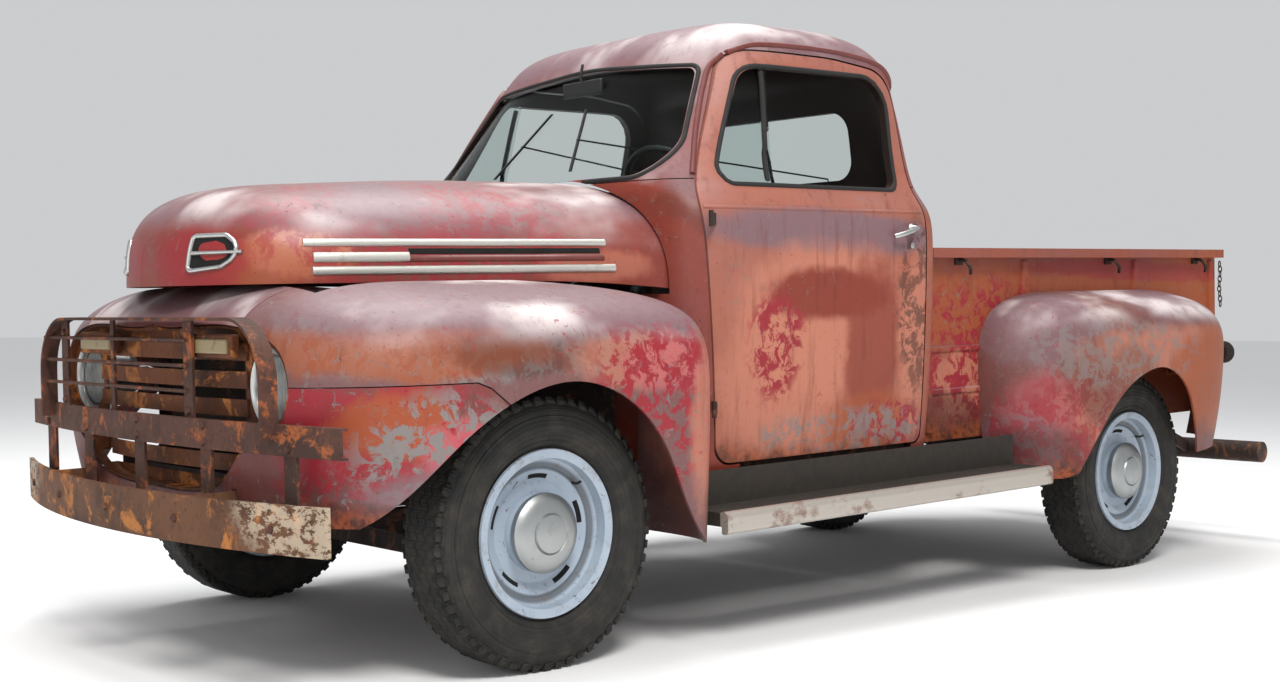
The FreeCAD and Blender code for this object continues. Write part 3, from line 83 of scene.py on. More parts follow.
def from_hex(text):
    """The linear colour of a six-figure web colour."""
    parts = [int(text[i:i + 2], 16) / 255 for i in (0, 2, 4)]
    return tuple(c / 12.92 if c <= 0.04045 else ((c + 0.055) / 1.055) ** 2.4 for c in parts)


class TruckPaint(bpy.types.PropertyGroup):
    sound: tint("Sound paint", "Red-brown paint that still has some gloss", from_hex("7c2f1e"))
    burnt: tint("Sun-burnt paint", "Purple-grey bloom on the faces that look up", from_hex("74595f"))
    # The chalk colour is partly real chalky oxidation and partly a painted sheen: a pale sky reflection painted on
    # the faces that look up.
    chalk_and_sheen: tint("Chalky bloom", "Pale bloom where the sun has dried the paint out", from_hex("d2c7c6"))
    salmon: tint("Salmon", "Worn-through pinkish brown", from_hex("b3705a"))
    crimson: tint("Crimson", "An older red coat that shows in flakes", from_hex("8c1c28"))
    pink: tint("Pink", "The crimson coat where it has faded", from_hex("b0525a"))
    primer: tint("Primer", "Grey primer in the deepest flakes", from_hex("77706e"))
    rust: tint("Rust", "Orange rust on bare sheet metal", from_hex("94481f"))
    scorch: tint("Dark rust", "Old dark brown rust", from_hex("3a1c12"))
    wear: FloatProperty(name="Wear", description="How far the flakes have spread", default=1.0, min=0, max=2,
                        subtype="FACTOR")


class TruckFittings(bpy.types.PropertyGroup):
    cap_radius: FloatProperty(name="Hub cap radius", description="Outer radius of each hub cap", default=0.108,
                              unit="LENGTH")
    lug_count: IntProperty(name="Tread blocks", description="Blocks round each shoulder of a tyre", default=58,
                           min=24)
    rubber_width: FloatProperty(name="Window rubber", description="Width of the rubber round a window", default=0.016,
                                unit="LENGTH")
    bolt_radius: FloatProperty(name="Bolt radius", description="Radius of a guard bolt's head", default=0.011,
                               unit="LENGTH")
    plank_count: IntProperty(name="Bed planks", description="Planks across the load bed's floor", default=9, min=3)
    pad_pressure: FloatProperty(name="Seat fill", description="Pressure that swells the seat pads", default=4.0,
                                min=0)


def paint():
    return bpy.context.scene.truck_paint


def fittings():
    return bpy.context.scene.truck_fittings


# ---------------------------------------------------------------- shader maths

class Signal:
    """A socket that sums are written with; each sum adds its own node."""

    def __init__(self, finish, socket):
        self.finish, self.socket = finish, socket

    def math(self, operation, first, second):
        return self.finish.add("ShaderNodeMath", {"operation": operation}, {0: first, 1: second})

    def __add__(self, other):
        return self.math("ADD", self, other)

    def __radd__(self, other):
        return self.math("ADD", other, self)

    def __sub__(self, other):
        return self.math("SUBTRACT", self, other)

    def __rsub__(self, other):
        return self.math("SUBTRACT", other, self)

    def __mul__(self, other):
        return self.math("MULTIPLY", self, other)

    def __rmul__(self, other):
        return self.math("MULTIPLY", other, self)

    def __truediv__(self, other):
        return self.math("DIVIDE", self, other)

    def between(self, low, high):
        """0 at low and 1 at high, easing at both ends."""
        settings = {"interpolation_type": "SMOOTHSTEP"}
        return self.finish.add("ShaderNodeMapRange", settings, {"Value": self, "From Min": low, "From Max": high})

    def wave(self, period):
        """0 to 1 and back over each period."""
        return self.math("SINE", self * (2 * math.pi / period), 0.0) * 0.5 + 0.5


class Finish:
    """A procedural material under construction, with a Principled shader at its end."""

    def __init__(self, name, **constants):
        self.material = bpy.data.materials.new(name)
        self.material.use_nodes = True
        self.tree = self.material.node_tree
        self.tree.nodes.clear()
        self.shader = self.tree.nodes.new("ShaderNodeBsdfPrincipled")
        output = self.tree.nodes.new("ShaderNodeOutputMaterial")
        self.tree.links.new(self.shader.outputs[0], output.inputs["Surface"])
        for socket, value in constants.items():
            self.set(socket.replace("_", " "), value)
        self.place = self.add("ShaderNodeTexCoord", {}, {}, "Object")
        self.seed = sum(ord(letter) * (i + 3) for i, letter in enumerate(name)) % 97

    def add(self, kind, settings, sockets, output=0):
        """A node of one kind: its settings first, then the values or links of its sockets."""
        node = self.tree.nodes.new(kind)
        for name, value in settings.items():
            setattr(node, name, value)
        for name, value in sockets.items():
            if isinstance(value, Signal):
                self.tree.links.new(value.socket, node.inputs[name])
            elif isinstance(value, tuple) and node.inputs[name].type == "RGBA":
                node.inputs[name].default_value = (*value[:3], 1)
            else:
                node.inputs[name].default_value = value
        return Signal(self, node.outputs[output])

    def set(self, socket, value):
        """A shader socket's own value, or its link."""
        target = self.shader.inputs[socket]
        if isinstance(value, Signal):
            self.tree.links.new(value.socket, target)
        elif target.type == "RGBA":
            target.default_value = (*value[:3], 1)
        else:
            target.default_value = value

    def mix(self, factor, first, second):
        first = first if isinstance(first, Signal) else tuple(first)
        second = second if isinstance(second, Signal) else tuple(second)
        return self.add("ShaderNodeMix", {"data_type": "RGBA"}, {0: factor, 6: first, 7: second}, 2)

    def vector(self, operation, first, second, output=0):
        return self.add("ShaderNodeVectorMath", {"operation": operation}, {0: first, 1: second}, output)

    def stretched(self, scale):
        return self.vector("MULTIPLY", self.place, scale)

    def noise(self, scale, detail=4.0, rough=0.55, stretch=None, warp=0.0):
        """Cloudy noise from 0 to 1, with about scale lumps to the metre."""
        self.seed += 7.31
        where = self.vector("ADD", self.stretched(stretch) if stretch else self.place,
                            (self.seed, 0.37 * self.seed, 0))
        return self.add("ShaderNodeTexNoise", {}, {"Vector": where, "Scale": scale, "Detail": detail,
                                                   "Roughness": rough, "Distortion": warp})

    def axis(self, letter):
        return self.add("ShaderNodeSeparateXYZ", {}, {0: self.place}, letter)

    def facing_up(self):
        normal = self.add("ShaderNodeTexCoord", {}, {}, "Normal")
        return self.add("ShaderNodeSeparateXYZ", {}, {0: normal}, "Z")

    def spot(self, centre, reach, ragged=0.5, grain=7.0, soft=0.25):
        """1 inside an uneven patch on either side of the truck, 0 outside it."""
        across = self.axis("X")
        width = across.math("ABSOLUTE", across, 0.0)
        point = self.add("ShaderNodeCombineXYZ", {}, {0: width, 1: self.axis("Y"), 2: self.axis("Z")})
        offset = self.vector("MULTIPLY", self.vector("SUBTRACT", point, tuple(centre)), tuple(1 / r for r in reach))
        distance = self.vector("LENGTH", offset, (0, 0, 0), "Value")
        return (distance + (self.noise(grain, 6.0, 0.65) - 0.5) * (2 * ragged)).between(1 + soft, 1 - soft)

    def bump(self, height, distance, strength=0.5, below=None):
        sockets = {"Height": height, "Distance": distance, "Strength": strength}
        if below:
            sockets["Normal"] = below
        return self.add("ShaderNodeBump", {}, sockets)


def old_paint(name, base, patches, gloss=0.42, chalk_and_sheen=0.6, flakes=0.5, rust_low=None, streaks=0.35, cover=None):
    """Layered old paint: a base, bloom on top, named patches, then flakes, pits and dust. The pale chalk on top is
    partly real chalky oxidation and partly a painted sheen.
    """
    colours = paint()
    f = Finish(name, Specular_IOR_Level=0.42)
    up = f.facing_up()
    tone = f.noise(1.7, 5.0, 0.6)
    colour = f.mix(tone.between(0.38, 0.62), base, tuple(0.78 * c + 0.22 * d for c, d in zip(base, colours.burnt)))
    colour = f.mix(f.noise(14, 6.0, 0.7).between(0.45, 0.8) * 0.35, colour, tuple(c * 0.55 for c in base))
    for kind, centre, reach, amount, ragged in patches:
        mask = f.spot(centre, reach, ragged) * amount
        if kind.endswith("_flakes"):
            mask = mask * f.noise(19, 7.0, 0.7, warp=0.6).between(0.47, 0.53)
        layer = getattr(colours, kind.replace("_flakes", ""))
        colour = f.mix(mask, colour, tuple(layer))
    top = up.between(0.25, 0.85)
    bloom = top * f.noise(1.9, 3.0, 0.5).between(0.3, 0.55)
    colour = f.mix(bloom * (chalk_and_sheen + 0.2), colour, tuple(colours.burnt))
    # Painted sheen: pale chalk on the faces that look up, partly real chalky oxidation and partly a painted sky
    # reflection.
    pale = top * f.noise(2.6, 3.0, 0.5, stretch=(1.6, 0.8, 1)).between(0.47, 0.66)
    colour = f.mix(pale * chalk_and_sheen, colour, tuple(colours.chalk_and_sheen))
    run = f.noise(9, 5.0, 0.6, stretch=(3.2, 3.2, 0.35))
    colour = f.mix(run.between(0.52, 0.75) * streaks, colour, tuple(0.6 * c for c in colours.sound))
    chip = f.noise(34, 8.0, 0.75, warp=0.5)
    area = f.noise(3.1, 4.0, 0.6)
    chips = chip.between(0.585, 0.61) * area.between(0.42, 0.62) * flakes * colours.wear
    colour = f.mix(chips, colour, tuple(colours.primer))
    old = f.noise(27, 8.0, 0.75, warp=0.8).between(0.6, 0.625) * area.between(0.62, 0.42) * flakes * colours.wear
    colour = f.mix(old, colour, tuple(colours.crimson))
    pits = f.noise(85, 5.0, 0.7).between(0.64, 0.7)
    colour = f.mix(pits * 0.75, colour, tuple(colours.scorch))
    rough = gloss + f.noise(6, 5.0, 0.6) * 0.22 + chips * 0.25 + pits * 0.3
    if rust_low is not None:
        edge = (f.axis("Z") + (f.noise(11, 6.0, 0.7) - 0.5) * 0.16).between(rust_low + 0.07, rust_low - 0.03)
        colour = f.mix(edge * 0.85, colour,
                       f.mix(f.noise(25, 6.0, 0.7).between(0.4, 0.6), tuple(colours.rust), tuple(colours.scorch)))
        rough = rough + edge * 0.25
    # Painted shade: faces turned towards the cover point inside the cab are darkened to near-black.
    if cover:
        normal = f.add("ShaderNodeTexCoord", {}, {}, "Normal")
        inward_shade = f.vector("DOT_PRODUCT", normal, f.vector("SUBTRACT", f.place, tuple(cover)), "Value").between(0.0,
                                                                                                               -0.04)
        colour = f.mix(inward_shade, colour, from_hex("20130e"))
    dust = up.between(0.55, 1.0) * f.noise(45, 4.0, 0.6).between(0.35, 0.75)
    colour = f.mix(dust * 0.12, colour, from_hex("a89a86"))
    f.set("Base Color", colour)
    f.set("Roughness", rough)
    dents = f.bump(f.noise(3.2, 2.0, 0.4), 0.02, 0.22)
    skin = f.bump(f.noise(70, 6.0, 0.7), 0.0015, 0.35, dents)
    f.set("Normal", f.bump(1.0 - chips - pits * 0.8, 0.0012, 0.6, skin))
    return f.material


def rusty_metal(name, body, orange, pale=None, pale_at=None, gloss=0.6, grain=12.0):
    """Steel rusted all over, from dark brown to orange, with pits."""
    f = Finish(name, Specular_IOR_Level=0.4)
    cloud = f.noise(grain * 0.35, 6.0, 0.7)
    colour = f.mix(cloud.between(0.4, 0.62), from_hex(body), tuple(0.5 * c for c in from_hex(body)))
    patch = f.noise(grain, 7.0, 0.72, warp=0.7)
    colour = f.mix(patch.between(0.53, 0.64), colour, from_hex(orange))
    colour = f.mix(f.noise(grain * 5, 5.0, 0.7).between(0.55, 0.7) * 0.7, colour, from_hex("2b1710"))
    if pale:
        flaky = f.noise(26, 8.0, 0.75, stretch=(1, 1, 1.6)).between(0.47, 0.52)
        colour = f.mix(f.spot(*pale_at, 0.5) * flaky * 0.6, colour, from_hex(pale))
    f.set("Base Color", colour)
    f.set("Roughness", gloss + f.noise(grain * 2, 5.0, 0.6) * 0.3)
    pits = f.bump(f.noise(110, 6.0, 0.75), 0.0016, 0.6)
    f.set("Normal", f.bump(patch, 0.003, 0.4, pits))
    return f.material


def plain_metal(name, colour, rough=0.3, metallic=0.9, stain="4a3a30", stains=0.35, scratches=0.3):
    f = Finish(name)
    worn = f.noise(24, 7.0, 0.7)
    mark = worn.between(0.55, 0.72) * stains
    f.set("Base Color", f.mix(mark, from_hex(colour), from_hex(stain)))
    f.set("Metallic", metallic - mark * 0.5)
    f.set("Roughness", rough + worn * 0.25 + mark * 0.3)
    line = f.noise(60, 4.0, 0.6, stretch=(0.4, 0.15, 3.0))
    f.set("Normal", f.bump(line, 0.0006, scratches))
    return f.material


def black_rubber(name, axle=None, outer=0.37):
    """Dry black rubber; on a tyre, dusty sidewalls and grooves across the tread, with painted shade in the grooves.
    """
    f = Finish(name, Specular_IOR_Level=0.35)
    colour = f.mix(f.noise(12, 5.0, 0.6), from_hex("19191a"), from_hex("2a2927"))
    height = f.noise(160, 4.0, 0.6) * 0.25
    if axle is not None:
        across, along, up = f.axis("X"), f.axis("Y") - axle.y, f.axis("Z") - axle.z
        radius = f.add("ShaderNodeMath", {"operation": "SQRT"}, {0: along * along + up * up})
        angle = f.add("ShaderNodeMath", {"operation": "ARCTAN2"}, {0: up, 1: along})
        tread = radius.between(outer - 0.022, outer - 0.012)
        zigzag = (angle * 58).math("SINE", angle * 58, 0.0)
        ribs = ((across.math("ABSOLUTE", across, 0.0) + zigzag * 0.006).wave(0.034)).between(0.12, 0.3)
        sipes = (angle.wave(2 * math.pi / 116)).between(0.05, 0.2)
        height = height + tread * ribs * (0.6 + sipes * 0.4) * 4.0
        rings = radius.wave(0.013).between(0.75, 0.95) * radius.between(0.235, 0.25)
        height = height + (1.0 - tread) * rings * 0.35
        # Painted shade: the grooves between the tread ribs are darkened.
        colour = f.mix((1.0 - ribs) * tread * 0.8, colour, from_hex("0c0b0a"))
        dust = f.noise(18, 5.0, 0.65).between(0.4, 0.75)
        colour = f.mix(dust * 0.45, colour, from_hex("4b443a"))
    f.set("Base Color", colour)
    f.set("Roughness", 0.62 + f.noise(30, 4.0, 0.5) * 0.25)
    f.set("Normal", f.bump(height, 0.0045, 0.8))
    return f.material


def wheel_enamel(name, axle):
    """Pale blue-grey wheel enamel with a painted shade ring between disc and rim, and a brown dirt ring."""
    f = Finish(name, Specular_IOR_Level=0.5)
    along, up = f.axis("Y") - axle.y, f.axis("Z") - axle.z
    radius = f.add("ShaderNodeMath", {"operation": "SQRT"}, {0: along * along + up * up})
    colour = f.mix(f.noise(9, 5.0, 0.6), from_hex("8c9bac"), from_hex("a9b4bf"))
    # Painted shade: a dark ring where the disc meets the rim, standing in for the shade of the slots.
    ring = radius.between(0.166, 0.174) * radius.between(0.196, 0.186)
    colour = f.mix(ring * 0.75, colour, from_hex("3d3f42"))
    chips = f.noise(42, 8.0, 0.75, warp=0.5).between(0.6, 0.64)
    colour = f.mix(chips * 0.8, colour, from_hex("5a4c42"))
    dirt = f.noise(16, 6.0, 0.7).between(0.5, 0.75) * radius.between(0.135, 0.2)
    colour = f.mix(dirt * 0.5, colour, from_hex("6a5a4c"))
    f.set("Base Color", colour)
    f.set("Roughness", 0.42 + chips * 0.3 + dirt * 0.2)
    f.set("Normal", f.bump(f.noise(60, 5.0, 0.6) - chips, 0.001, 0.4))
    return f.material


def window_glass(name, tone, rough=0.02):
    f = Finish(name, Transmission_Weight=1.0, IOR=1.1, Base_Color=from_hex(tone))
    f.set("Roughness", rough + f.noise(7, 4.0, 0.6).between(0.45, 0.8) * 0.06)
    return f.material


def lamp_glass(name, centre):
    """A lamp lens pressed with upright flutes."""
    f = Finish(name, Transmission_Weight=0.55, IOR=1.45)
    f.set("Base Color", f.mix(f.noise(20, 4.0, 0.6), from_hex("d8dbd8"), from_hex("aeb2b0")))
    f.set("Roughness", 0.1 + f.noise(15, 4.0, 0.6) * 0.1)
    across = f.axis("X")
    curve = f.axis("Z") - centre.z
    flutes = (across.math("ABSOLUTE", across, 0.0) + curve * curve * 1.4).wave(0.0085)
    f.set("Normal", f.bump(flutes, 0.003, 0.7))
    return f.material


def cracked_leather(name, tone):
    f = Finish(name, Specular_IOR_Level=0.4)
    cells = f.add("ShaderNodeTexVoronoi", {"feature": "DISTANCE_TO_EDGE"}, {"Vector": f.place, "Scale": 190.0})
    worn = f.noise(4, 5.0, 0.6)
    colour = f.mix(worn.between(0.4, 0.7), from_hex(tone), tuple(1.6 * c for c in from_hex(tone)))
    cracks = f.noise(16, 8.0, 0.8, warp=1.2).between(0.6, 0.63)
    f.set("Base Color", f.mix(cracks, colour, from_hex("7b6a54")))
    f.set("Roughness", 0.5 + worn * 0.3)
    f.set("Normal", f.bump(cells.between(0.0, 0.12) - cracks, 0.0012, 0.5))
    return f.material


def worn_wood(name):
    f = Finish(name, Specular_IOR_Level=0.25)
    grain = f.noise(16, 8.0, 0.7, stretch=(9, 0.5, 9), warp=0.5)
    colour = f.mix(grain.between(0.35, 0.65), from_hex("6f6458"), from_hex("3b3129"))
    colour = f.mix(f.noise(3, 4.0, 0.6).between(0.45, 0.7) * 0.6, colour, from_hex("8d5a3a"))
    f.set("Base Color", colour)
    f.set("Roughness", 0.75 + grain * 0.2)
    f.set("Normal", f.bump(grain, 0.003, 0.7))
    return f.material


def red_lens(name):
    f = Finish(name, Transmission_Weight=0.3, Roughness=0.2)
    f.set("Base Color", f.mix(f.noise(30, 4.0, 0.6), from_hex("9c1414"), from_hex("6a0c0c")))
    f.set("Normal", f.bump(f.axis("Z").wave(0.006), 0.001, 0.5))
    return f.material


# Patches: coat, centre on the left side, reach, amount, raggedness.
PATCHES = {
    "hood": [
        ("salmon", (0.35, -2.13, 1.12), (0.3, 0.13, 0.07), 0.9, 0.6),
        ("rust", (0.4, -2.2, 1.09), (0.3, 0.2, 0.06), 0.6, 0.6),
        ("crimson", (0.3, -2.33, 1.1), (0.3, 0.09, 0.09), 0.7, 0.6),
        ("burnt", (0.2, -1.75, 1.3), (0.7, 0.65, 0.13), 0.6, 0.4),
        ("crimson_flakes", (0.5, -1.8, 1.2), (0.4, 0.5, 0.2), 0.8, 0.5),
        ("salmon", (0.5, -1.25, 1.1), (0.3, 0.2, 0.05), 0.5, 0.6),
    ],
    "front_fenders": [
        ("burnt", (0.75, -1.6, 1.0), (0.5, 0.8, 0.13), 0.85, 0.3),
        ("primer_flakes", (0.93, -1.95, 0.88), (0.5, 0.6, 0.09), 1.0, 0.4),
        ("rust", (0.93, -2.1, 0.86), (0.5, 0.4, 0.07), 0.75, 0.6),
        ("scorch", (0.93, -1.72, 0.86), (0.4, 0.3, 0.06), 0.5, 0.7),
        ("salmon", (0.95, -1.4, 0.84), (0.3, 0.22, 0.08), 0.6, 0.6),
        ("pink", (0.95, -1.25, 0.82), (0.3, 0.2, 0.07), 0.6, 0.6),
        ("crimson_flakes", (0.95, -1.25, 0.75), (0.3, 0.3, 0.25), 1.0, 0.5),
        ("salmon", (0.93, -1.1, 0.66), (0.3, 0.1, 0.26), 0.75, 0.5),
        ("scorch", (0.93, -1.05, 0.42), (0.3, 0.1, 0.14), 0.5, 0.6),
    ],
    "lower_front_panel": [
        ("crimson", (0.8, -2.25, 0.66), (0.3, 0.16, 0.12), 0.95, 0.7),
        ("crimson_flakes", (0.85, -2.1, 0.6), (0.3, 0.3, 0.2), 1.0, 0.5),
        ("rust", (0.9, -2.12, 0.68), (0.3, 0.12, 0.09), 0.8, 0.8),
        ("pink", (0.9, -1.98, 0.6), (0.3, 0.1, 0.1), 0.8, 0.8),
        ("primer_flakes", (0.9, -2.0, 0.6), (0.3, 0.22, 0.16), 1.0, 0.5),
        ("burnt", (0.9, -1.9, 0.48), (0.4, 0.3, 0.1), 0.8, 0.5),
        ("scorch", (0.8, -2.2, 0.44), (0.5, 0.4, 0.05), 0.5, 0.6),
    ],
    "door": [
        ("burnt", (0.78, -0.4, 1.225), (0.4, 0.56, 0.07), 0.95, 0.3),
        ("salmon", (0.78, -0.42, 0.95), (0.4, 0.4, 0.24), 0.9, 0.35),
        ("salmon", (0.78, -0.6, 0.72), (0.4, 0.28, 0.22), 0.85, 0.4),
        ("sound", (0.78, -0.42, 1.03), (0.4, 0.3, 0.08), 1.0, 0.45),
        ("sound", (0.78, -0.2, 0.86), (0.4, 0.13, 0.3), 0.85, 0.5),
        ("rust", (0.78, -0.22, 0.62), (0.4, 0.24, 0.1), 0.65, 0.7),
        ("salmon", (0.78, 0.02, 0.86), (0.4, 0.08, 0.3), 0.7, 0.5),
        ("crimson_flakes", (0.78, -0.66, 0.86), (0.4, 0.12, 0.16), 1.0, 0.5),
        ("crimson_flakes", (0.78, -0.1, 0.6), (0.4, 0.2, 0.08), 1.0, 0.5),
        ("scorch_flakes", (0.78, 0.02, 1.0), (0.4, 0.1, 0.3), 0.7, 0.5),
        ("primer_flakes", (0.78, -0.3, 0.58), (0.4, 0.4, 0.08), 0.8, 0.5),
    ],
    "cab": [
        ("burnt", (0.75, -0.4, 1.33), (0.3, 0.5, 0.045), 0.7, 0.4),
        ("burnt", (0.3, -0.4, 1.93), (0.9, 0.9, 0.16), 0.9, 0.3),
        ("salmon", (0.7, 0.2, 0.9), (0.5, 0.3, 0.4), 0.45, 0.6),
        ("scorch", (0.72, -0.92, 1.3), (0.2, 0.14, 0.09), 0.4, 0.6),
        ("rust_flakes", (0.7, 0.1, 1.2), (0.3, 0.4, 0.6), 0.5, 0.5),
    ],
    "rear_fenders": [
        ("burnt", (0.9, 0.72, 0.88), (0.4, 0.25, 0.12), 0.7, 0.4),
        ("salmon", (0.93, 0.95, 0.7), (0.4, 0.26, 0.2), 0.6, 0.6),
        ("pink", (0.93, 0.66, 0.62), (0.4, 0.12, 0.16), 0.45, 0.8),
        ("burnt", (0.93, 0.6, 0.45), (0.4, 0.13, 0.16), 0.85, 0.6),
        ("crimson_flakes", (0.93, 0.8, 0.5), (0.4, 0.4, 0.25), 0.7, 0.5),
        ("scorch", (0.93, 0.6, 0.42), (0.4, 0.2, 0.14), 0.6, 0.6),
        ("salmon", (0.93, 1.5, 0.83), (0.4, 0.7, 0.1), 0.8, 0.4),
        ("rust", (0.93, 1.75, 0.72), (0.4, 0.42, 0.2), 0.95, 0.5),
        ("scorch", (0.93, 1.0, 0.72), (0.4, 0.3, 0.16), 0.5, 0.8),
        ("primer_flakes", (0.93, 1.0, 0.83), (0.4, 0.5, 0.12), 0.6, 0.5),
    ],
    "bed": [
        ("rust", (0.65, 0.9, 1.0), (0.3, 1.3, 0.14), 0.7, 0.5),
        ("salmon", (0.65, 0.45, 0.72), (0.3, 0.2, 0.12), 0.75, 0.6),
        ("crimson_flakes", (0.65, 0.6, 0.8), (0.3, 0.5, 0.3), 1.0, 0.4),
        ("scorch", (0.65, 0.35, 0.6), (0.3, 0.2, 0.1), 0.6, 0.6),
        ("rust", (0.65, 2.0, 0.95), (0.5, 0.4, 0.3), 0.8, 0.5),
        ("crimson", (0.65, 1.6, 1.15), (0.3, 0.8, 0.04), 0.6, 0.6),
    ],
}
BRUSHED = {}


def coat(name, *items):
    """Gives one finish to nodes named by text, or to new pieces."""
    for item in items:
        target = NODES[item] if isinstance(item, str) else item
        slots = target.data.materials
        if len(slots) == 0:
            slots.append(BRUSHED[name])
        for index in range(len(slots)):
            slots[index] = BRUSHED[name]


# ---------------------------------------------------------------- shapes

TREES = {}


def surface(node, start, direction):
    """Where a line first meets a node, and the normal there that faces the line's start."""
    if node not in TREES:
        mesh = NODES[node].data
        TREES[node] = BVHTree.FromPolygons([v.co for v in mesh.vertices], [p.vertices for p in mesh.polygons])
    direction = Vector(direction).normalized()
    place, normal, _, _ = TREES[node].ray_cast(Vector(start), direction)
    if place is None:
        raise RuntimeError(f"no surface of {node} in front of {tuple(start)}")
    return place, (normal if normal.dot(direction) < 0 else -normal)


def laid(node, points, direction):
    """Places and normals where points fall onto a node along one direction; misses are left out."""
    found = []
    for point in points:
        try:
            found.append(surface(node, point, direction))
        except RuntimeError:
            continue
    return found


class Shape:
    """A mesh being put together from several forms in one piece."""

    def __init__(self):
        self.vertices, self.faces = [], []

    def rings(self, rings, closed=False, capped=True):
        first, size, count = len(self.vertices), len(rings[0]), len(rings)
        self.vertices += [Vector(p) for ring in rings for p in ring]
        for i in range(count if closed else count - 1):
            a, b = first + i * size, first + ((i + 1) % count) * size
            self.faces += [(a + j, a + (j + 1) % size, b + (j + 1) % size, b + j) for j in range(size)]
        if capped and not closed:
            self.faces.append(tuple(range(first + size - 1, first - 1, -1)))
            self.faces.append(tuple(range(first + (count - 1) * size, first + count * size)))
        return self

    def sweep(self, path, section, closed=False):
        """Carries a section of (across, outward) pairs along (place, normal) pairs."""
        rings, count = [], len(path)
        for i, (place, normal) in enumerate(path):
            before = path[(i - 1) % count if closed else max(i - 1, 0)][0]
            after = path[(i + 1) % count if closed else min(i + 1, count - 1)][0]
            along = (after - before).normalized()
            across = along.cross(normal).normalized()
            out = across.cross(along).normalized()
            rings.append([place + across * a + out * o for a, o in section])
        return self.rings(rings, closed)

    def lathe(self, centre, axis, profile, steps=48, hollow=False):
        """Turns (radius, height) pairs about an axis through centre; a hollow one is a closed ring."""
        axis = Vector(axis).normalized()
        side = axis.orthogonal().normalized()
        other = axis.cross(side)
        rings = []
        for radius, height in profile:
            rings.append([Vector(centre) + axis * height + (side * math.cos(t) + other * math.sin(t)) * max(radius,
                                                                                                            0.0004)
                          for t in (2 * math.pi * k / steps for k in range(steps))])
        return self.rings(rings, closed=hollow)

    def block(self, centre, x, y, z):
        """A box from its middle and three half-edges."""
        centre = Vector(centre)
        low = [centre + a * x + b * y - z for a, b in ((-1, -1), (1, -1), (1, 1), (-1, 1))]
        high = [p + 2 * z for p in low]
        return self.rings([low, high])

    def tube(self, points, radius, steps=12):
        rings, count = [], len(points)
        side = (Vector(points[1]) - Vector(points[0])).orthogonal().normalized()
        for i, point in enumerate(points):
            along = (Vector(points[min(i + 1, count - 1)]) - Vector(points[max(i - 1, 0)])).normalized()
            side = (side - along * side.dot(along)).normalized()
            other = along.cross(side)
            rings.append([Vector(point) + (side * math.cos(t) + other * math.sin(t)) * radius
                          for t in (2 * math.pi * k / steps for k in range(steps))])
        return self.rings(rings)

    def piece(self, name, body, slot, finish, bevel=0.0, segments=2, subdivide=0):
        """The finished object, riding on a body."""
        mesh = bpy.data.meshes.new(name)
        mesh.from_pydata(self.vertices, [], self.faces)
        work = bmesh.new()
        work.from_mesh(mesh)
        bmesh.ops.recalc_face_normals(work, faces=work.faces)
        work.to_mesh(mesh)
        work.free()
        obj = bpy.data.objects.new(name, mesh)
        bpy.context.scene.collection.objects.link(obj)
        if bevel:
            rounding = obj.modifiers.new("Rounding", "BEVEL")
            rounding.width, rounding.segments, rounding.limit_method = bevel, segments, "ANGLE"
            rounding.angle_limit = math.radians(40)
        if subdivide:
            smooth = obj.modifiers.new("Smoothing", "SUBSURF")
            smooth.levels = smooth.render_levels = subdivide
        mesh.polygons.foreach_set("use_smooth", [True] * len(mesh.polygons))
        mesh.set_sharp_from_angle(angle=math.radians(38))
        coat(finish, obj)
        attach(obj, body)
        return obj


def rounded_section(half, height, low=0.0, steps=6):
    """A strip's section: flat underneath, crowned on top."""
    arc = [(half * math.cos(t), low + height * math.sin(t)) for t in (math.pi * k / steps for k in range(steps + 1))]
    return arc + [(-half, low - 0.002), (half, low - 0.002)]


def rounded_loop(corners, radii, steps=5):
    """A flat outline's points, with each corner rounded."""
    points, count = [], len(corners)
    for i, radius in enumerate(radii):
        here = Vector(corners[i])
        to_last = (Vector(corners[i - 1]) - here).normalized()
        to_next = (Vector(corners[(i + 1) % count]) - here).normalized()
        angle = to_last.angle(to_next)
        reach = radius / math.tan(angle / 2)
        centre = here + (to_last + to_next).normalized() * (radius / math.sin(angle / 2))
        start, end = here + to_last * reach - centre, here + to_next * reach - centre
        for k in range(steps + 1):
            blend = start.lerp(end, k / steps)
            points.append(centre + blend.normalized() * radius)
    return points


def spread(points, gap):
    """Points about one gap apart along a closed outline."""
    out, count = [], len(points)
    for i in range(count):
        a, b = points[i], points[(i + 1) % count]
        parts = max(1, round((b - a).length / gap))
        out += [a.lerp(b, k / parts) for k in range(parts)]
    return out


def curve_points(points, count):
    """Evenly spread points on a smooth curve through a few given ones."""
    path = [Vector(p) for p in points]
    ends = [path[0] * 2 - path[1]] + path + [path[-1] * 2 - path[-2]]
    out = []
    for i in range(1, len(ends) - 2):
        a, b, c, d = ends[i - 1:i + 3]
        for k in range(count):
            t = k / count
            out.append(0.5 * (2 * b + (c - a) * t + (2 * a - 5 * b + 4 * c - d) * t * t + (3 * b - a - 3 * c + d) * t ** 3))
    return out + [path[-1]]


# ---------------------------------------------------------------- operators

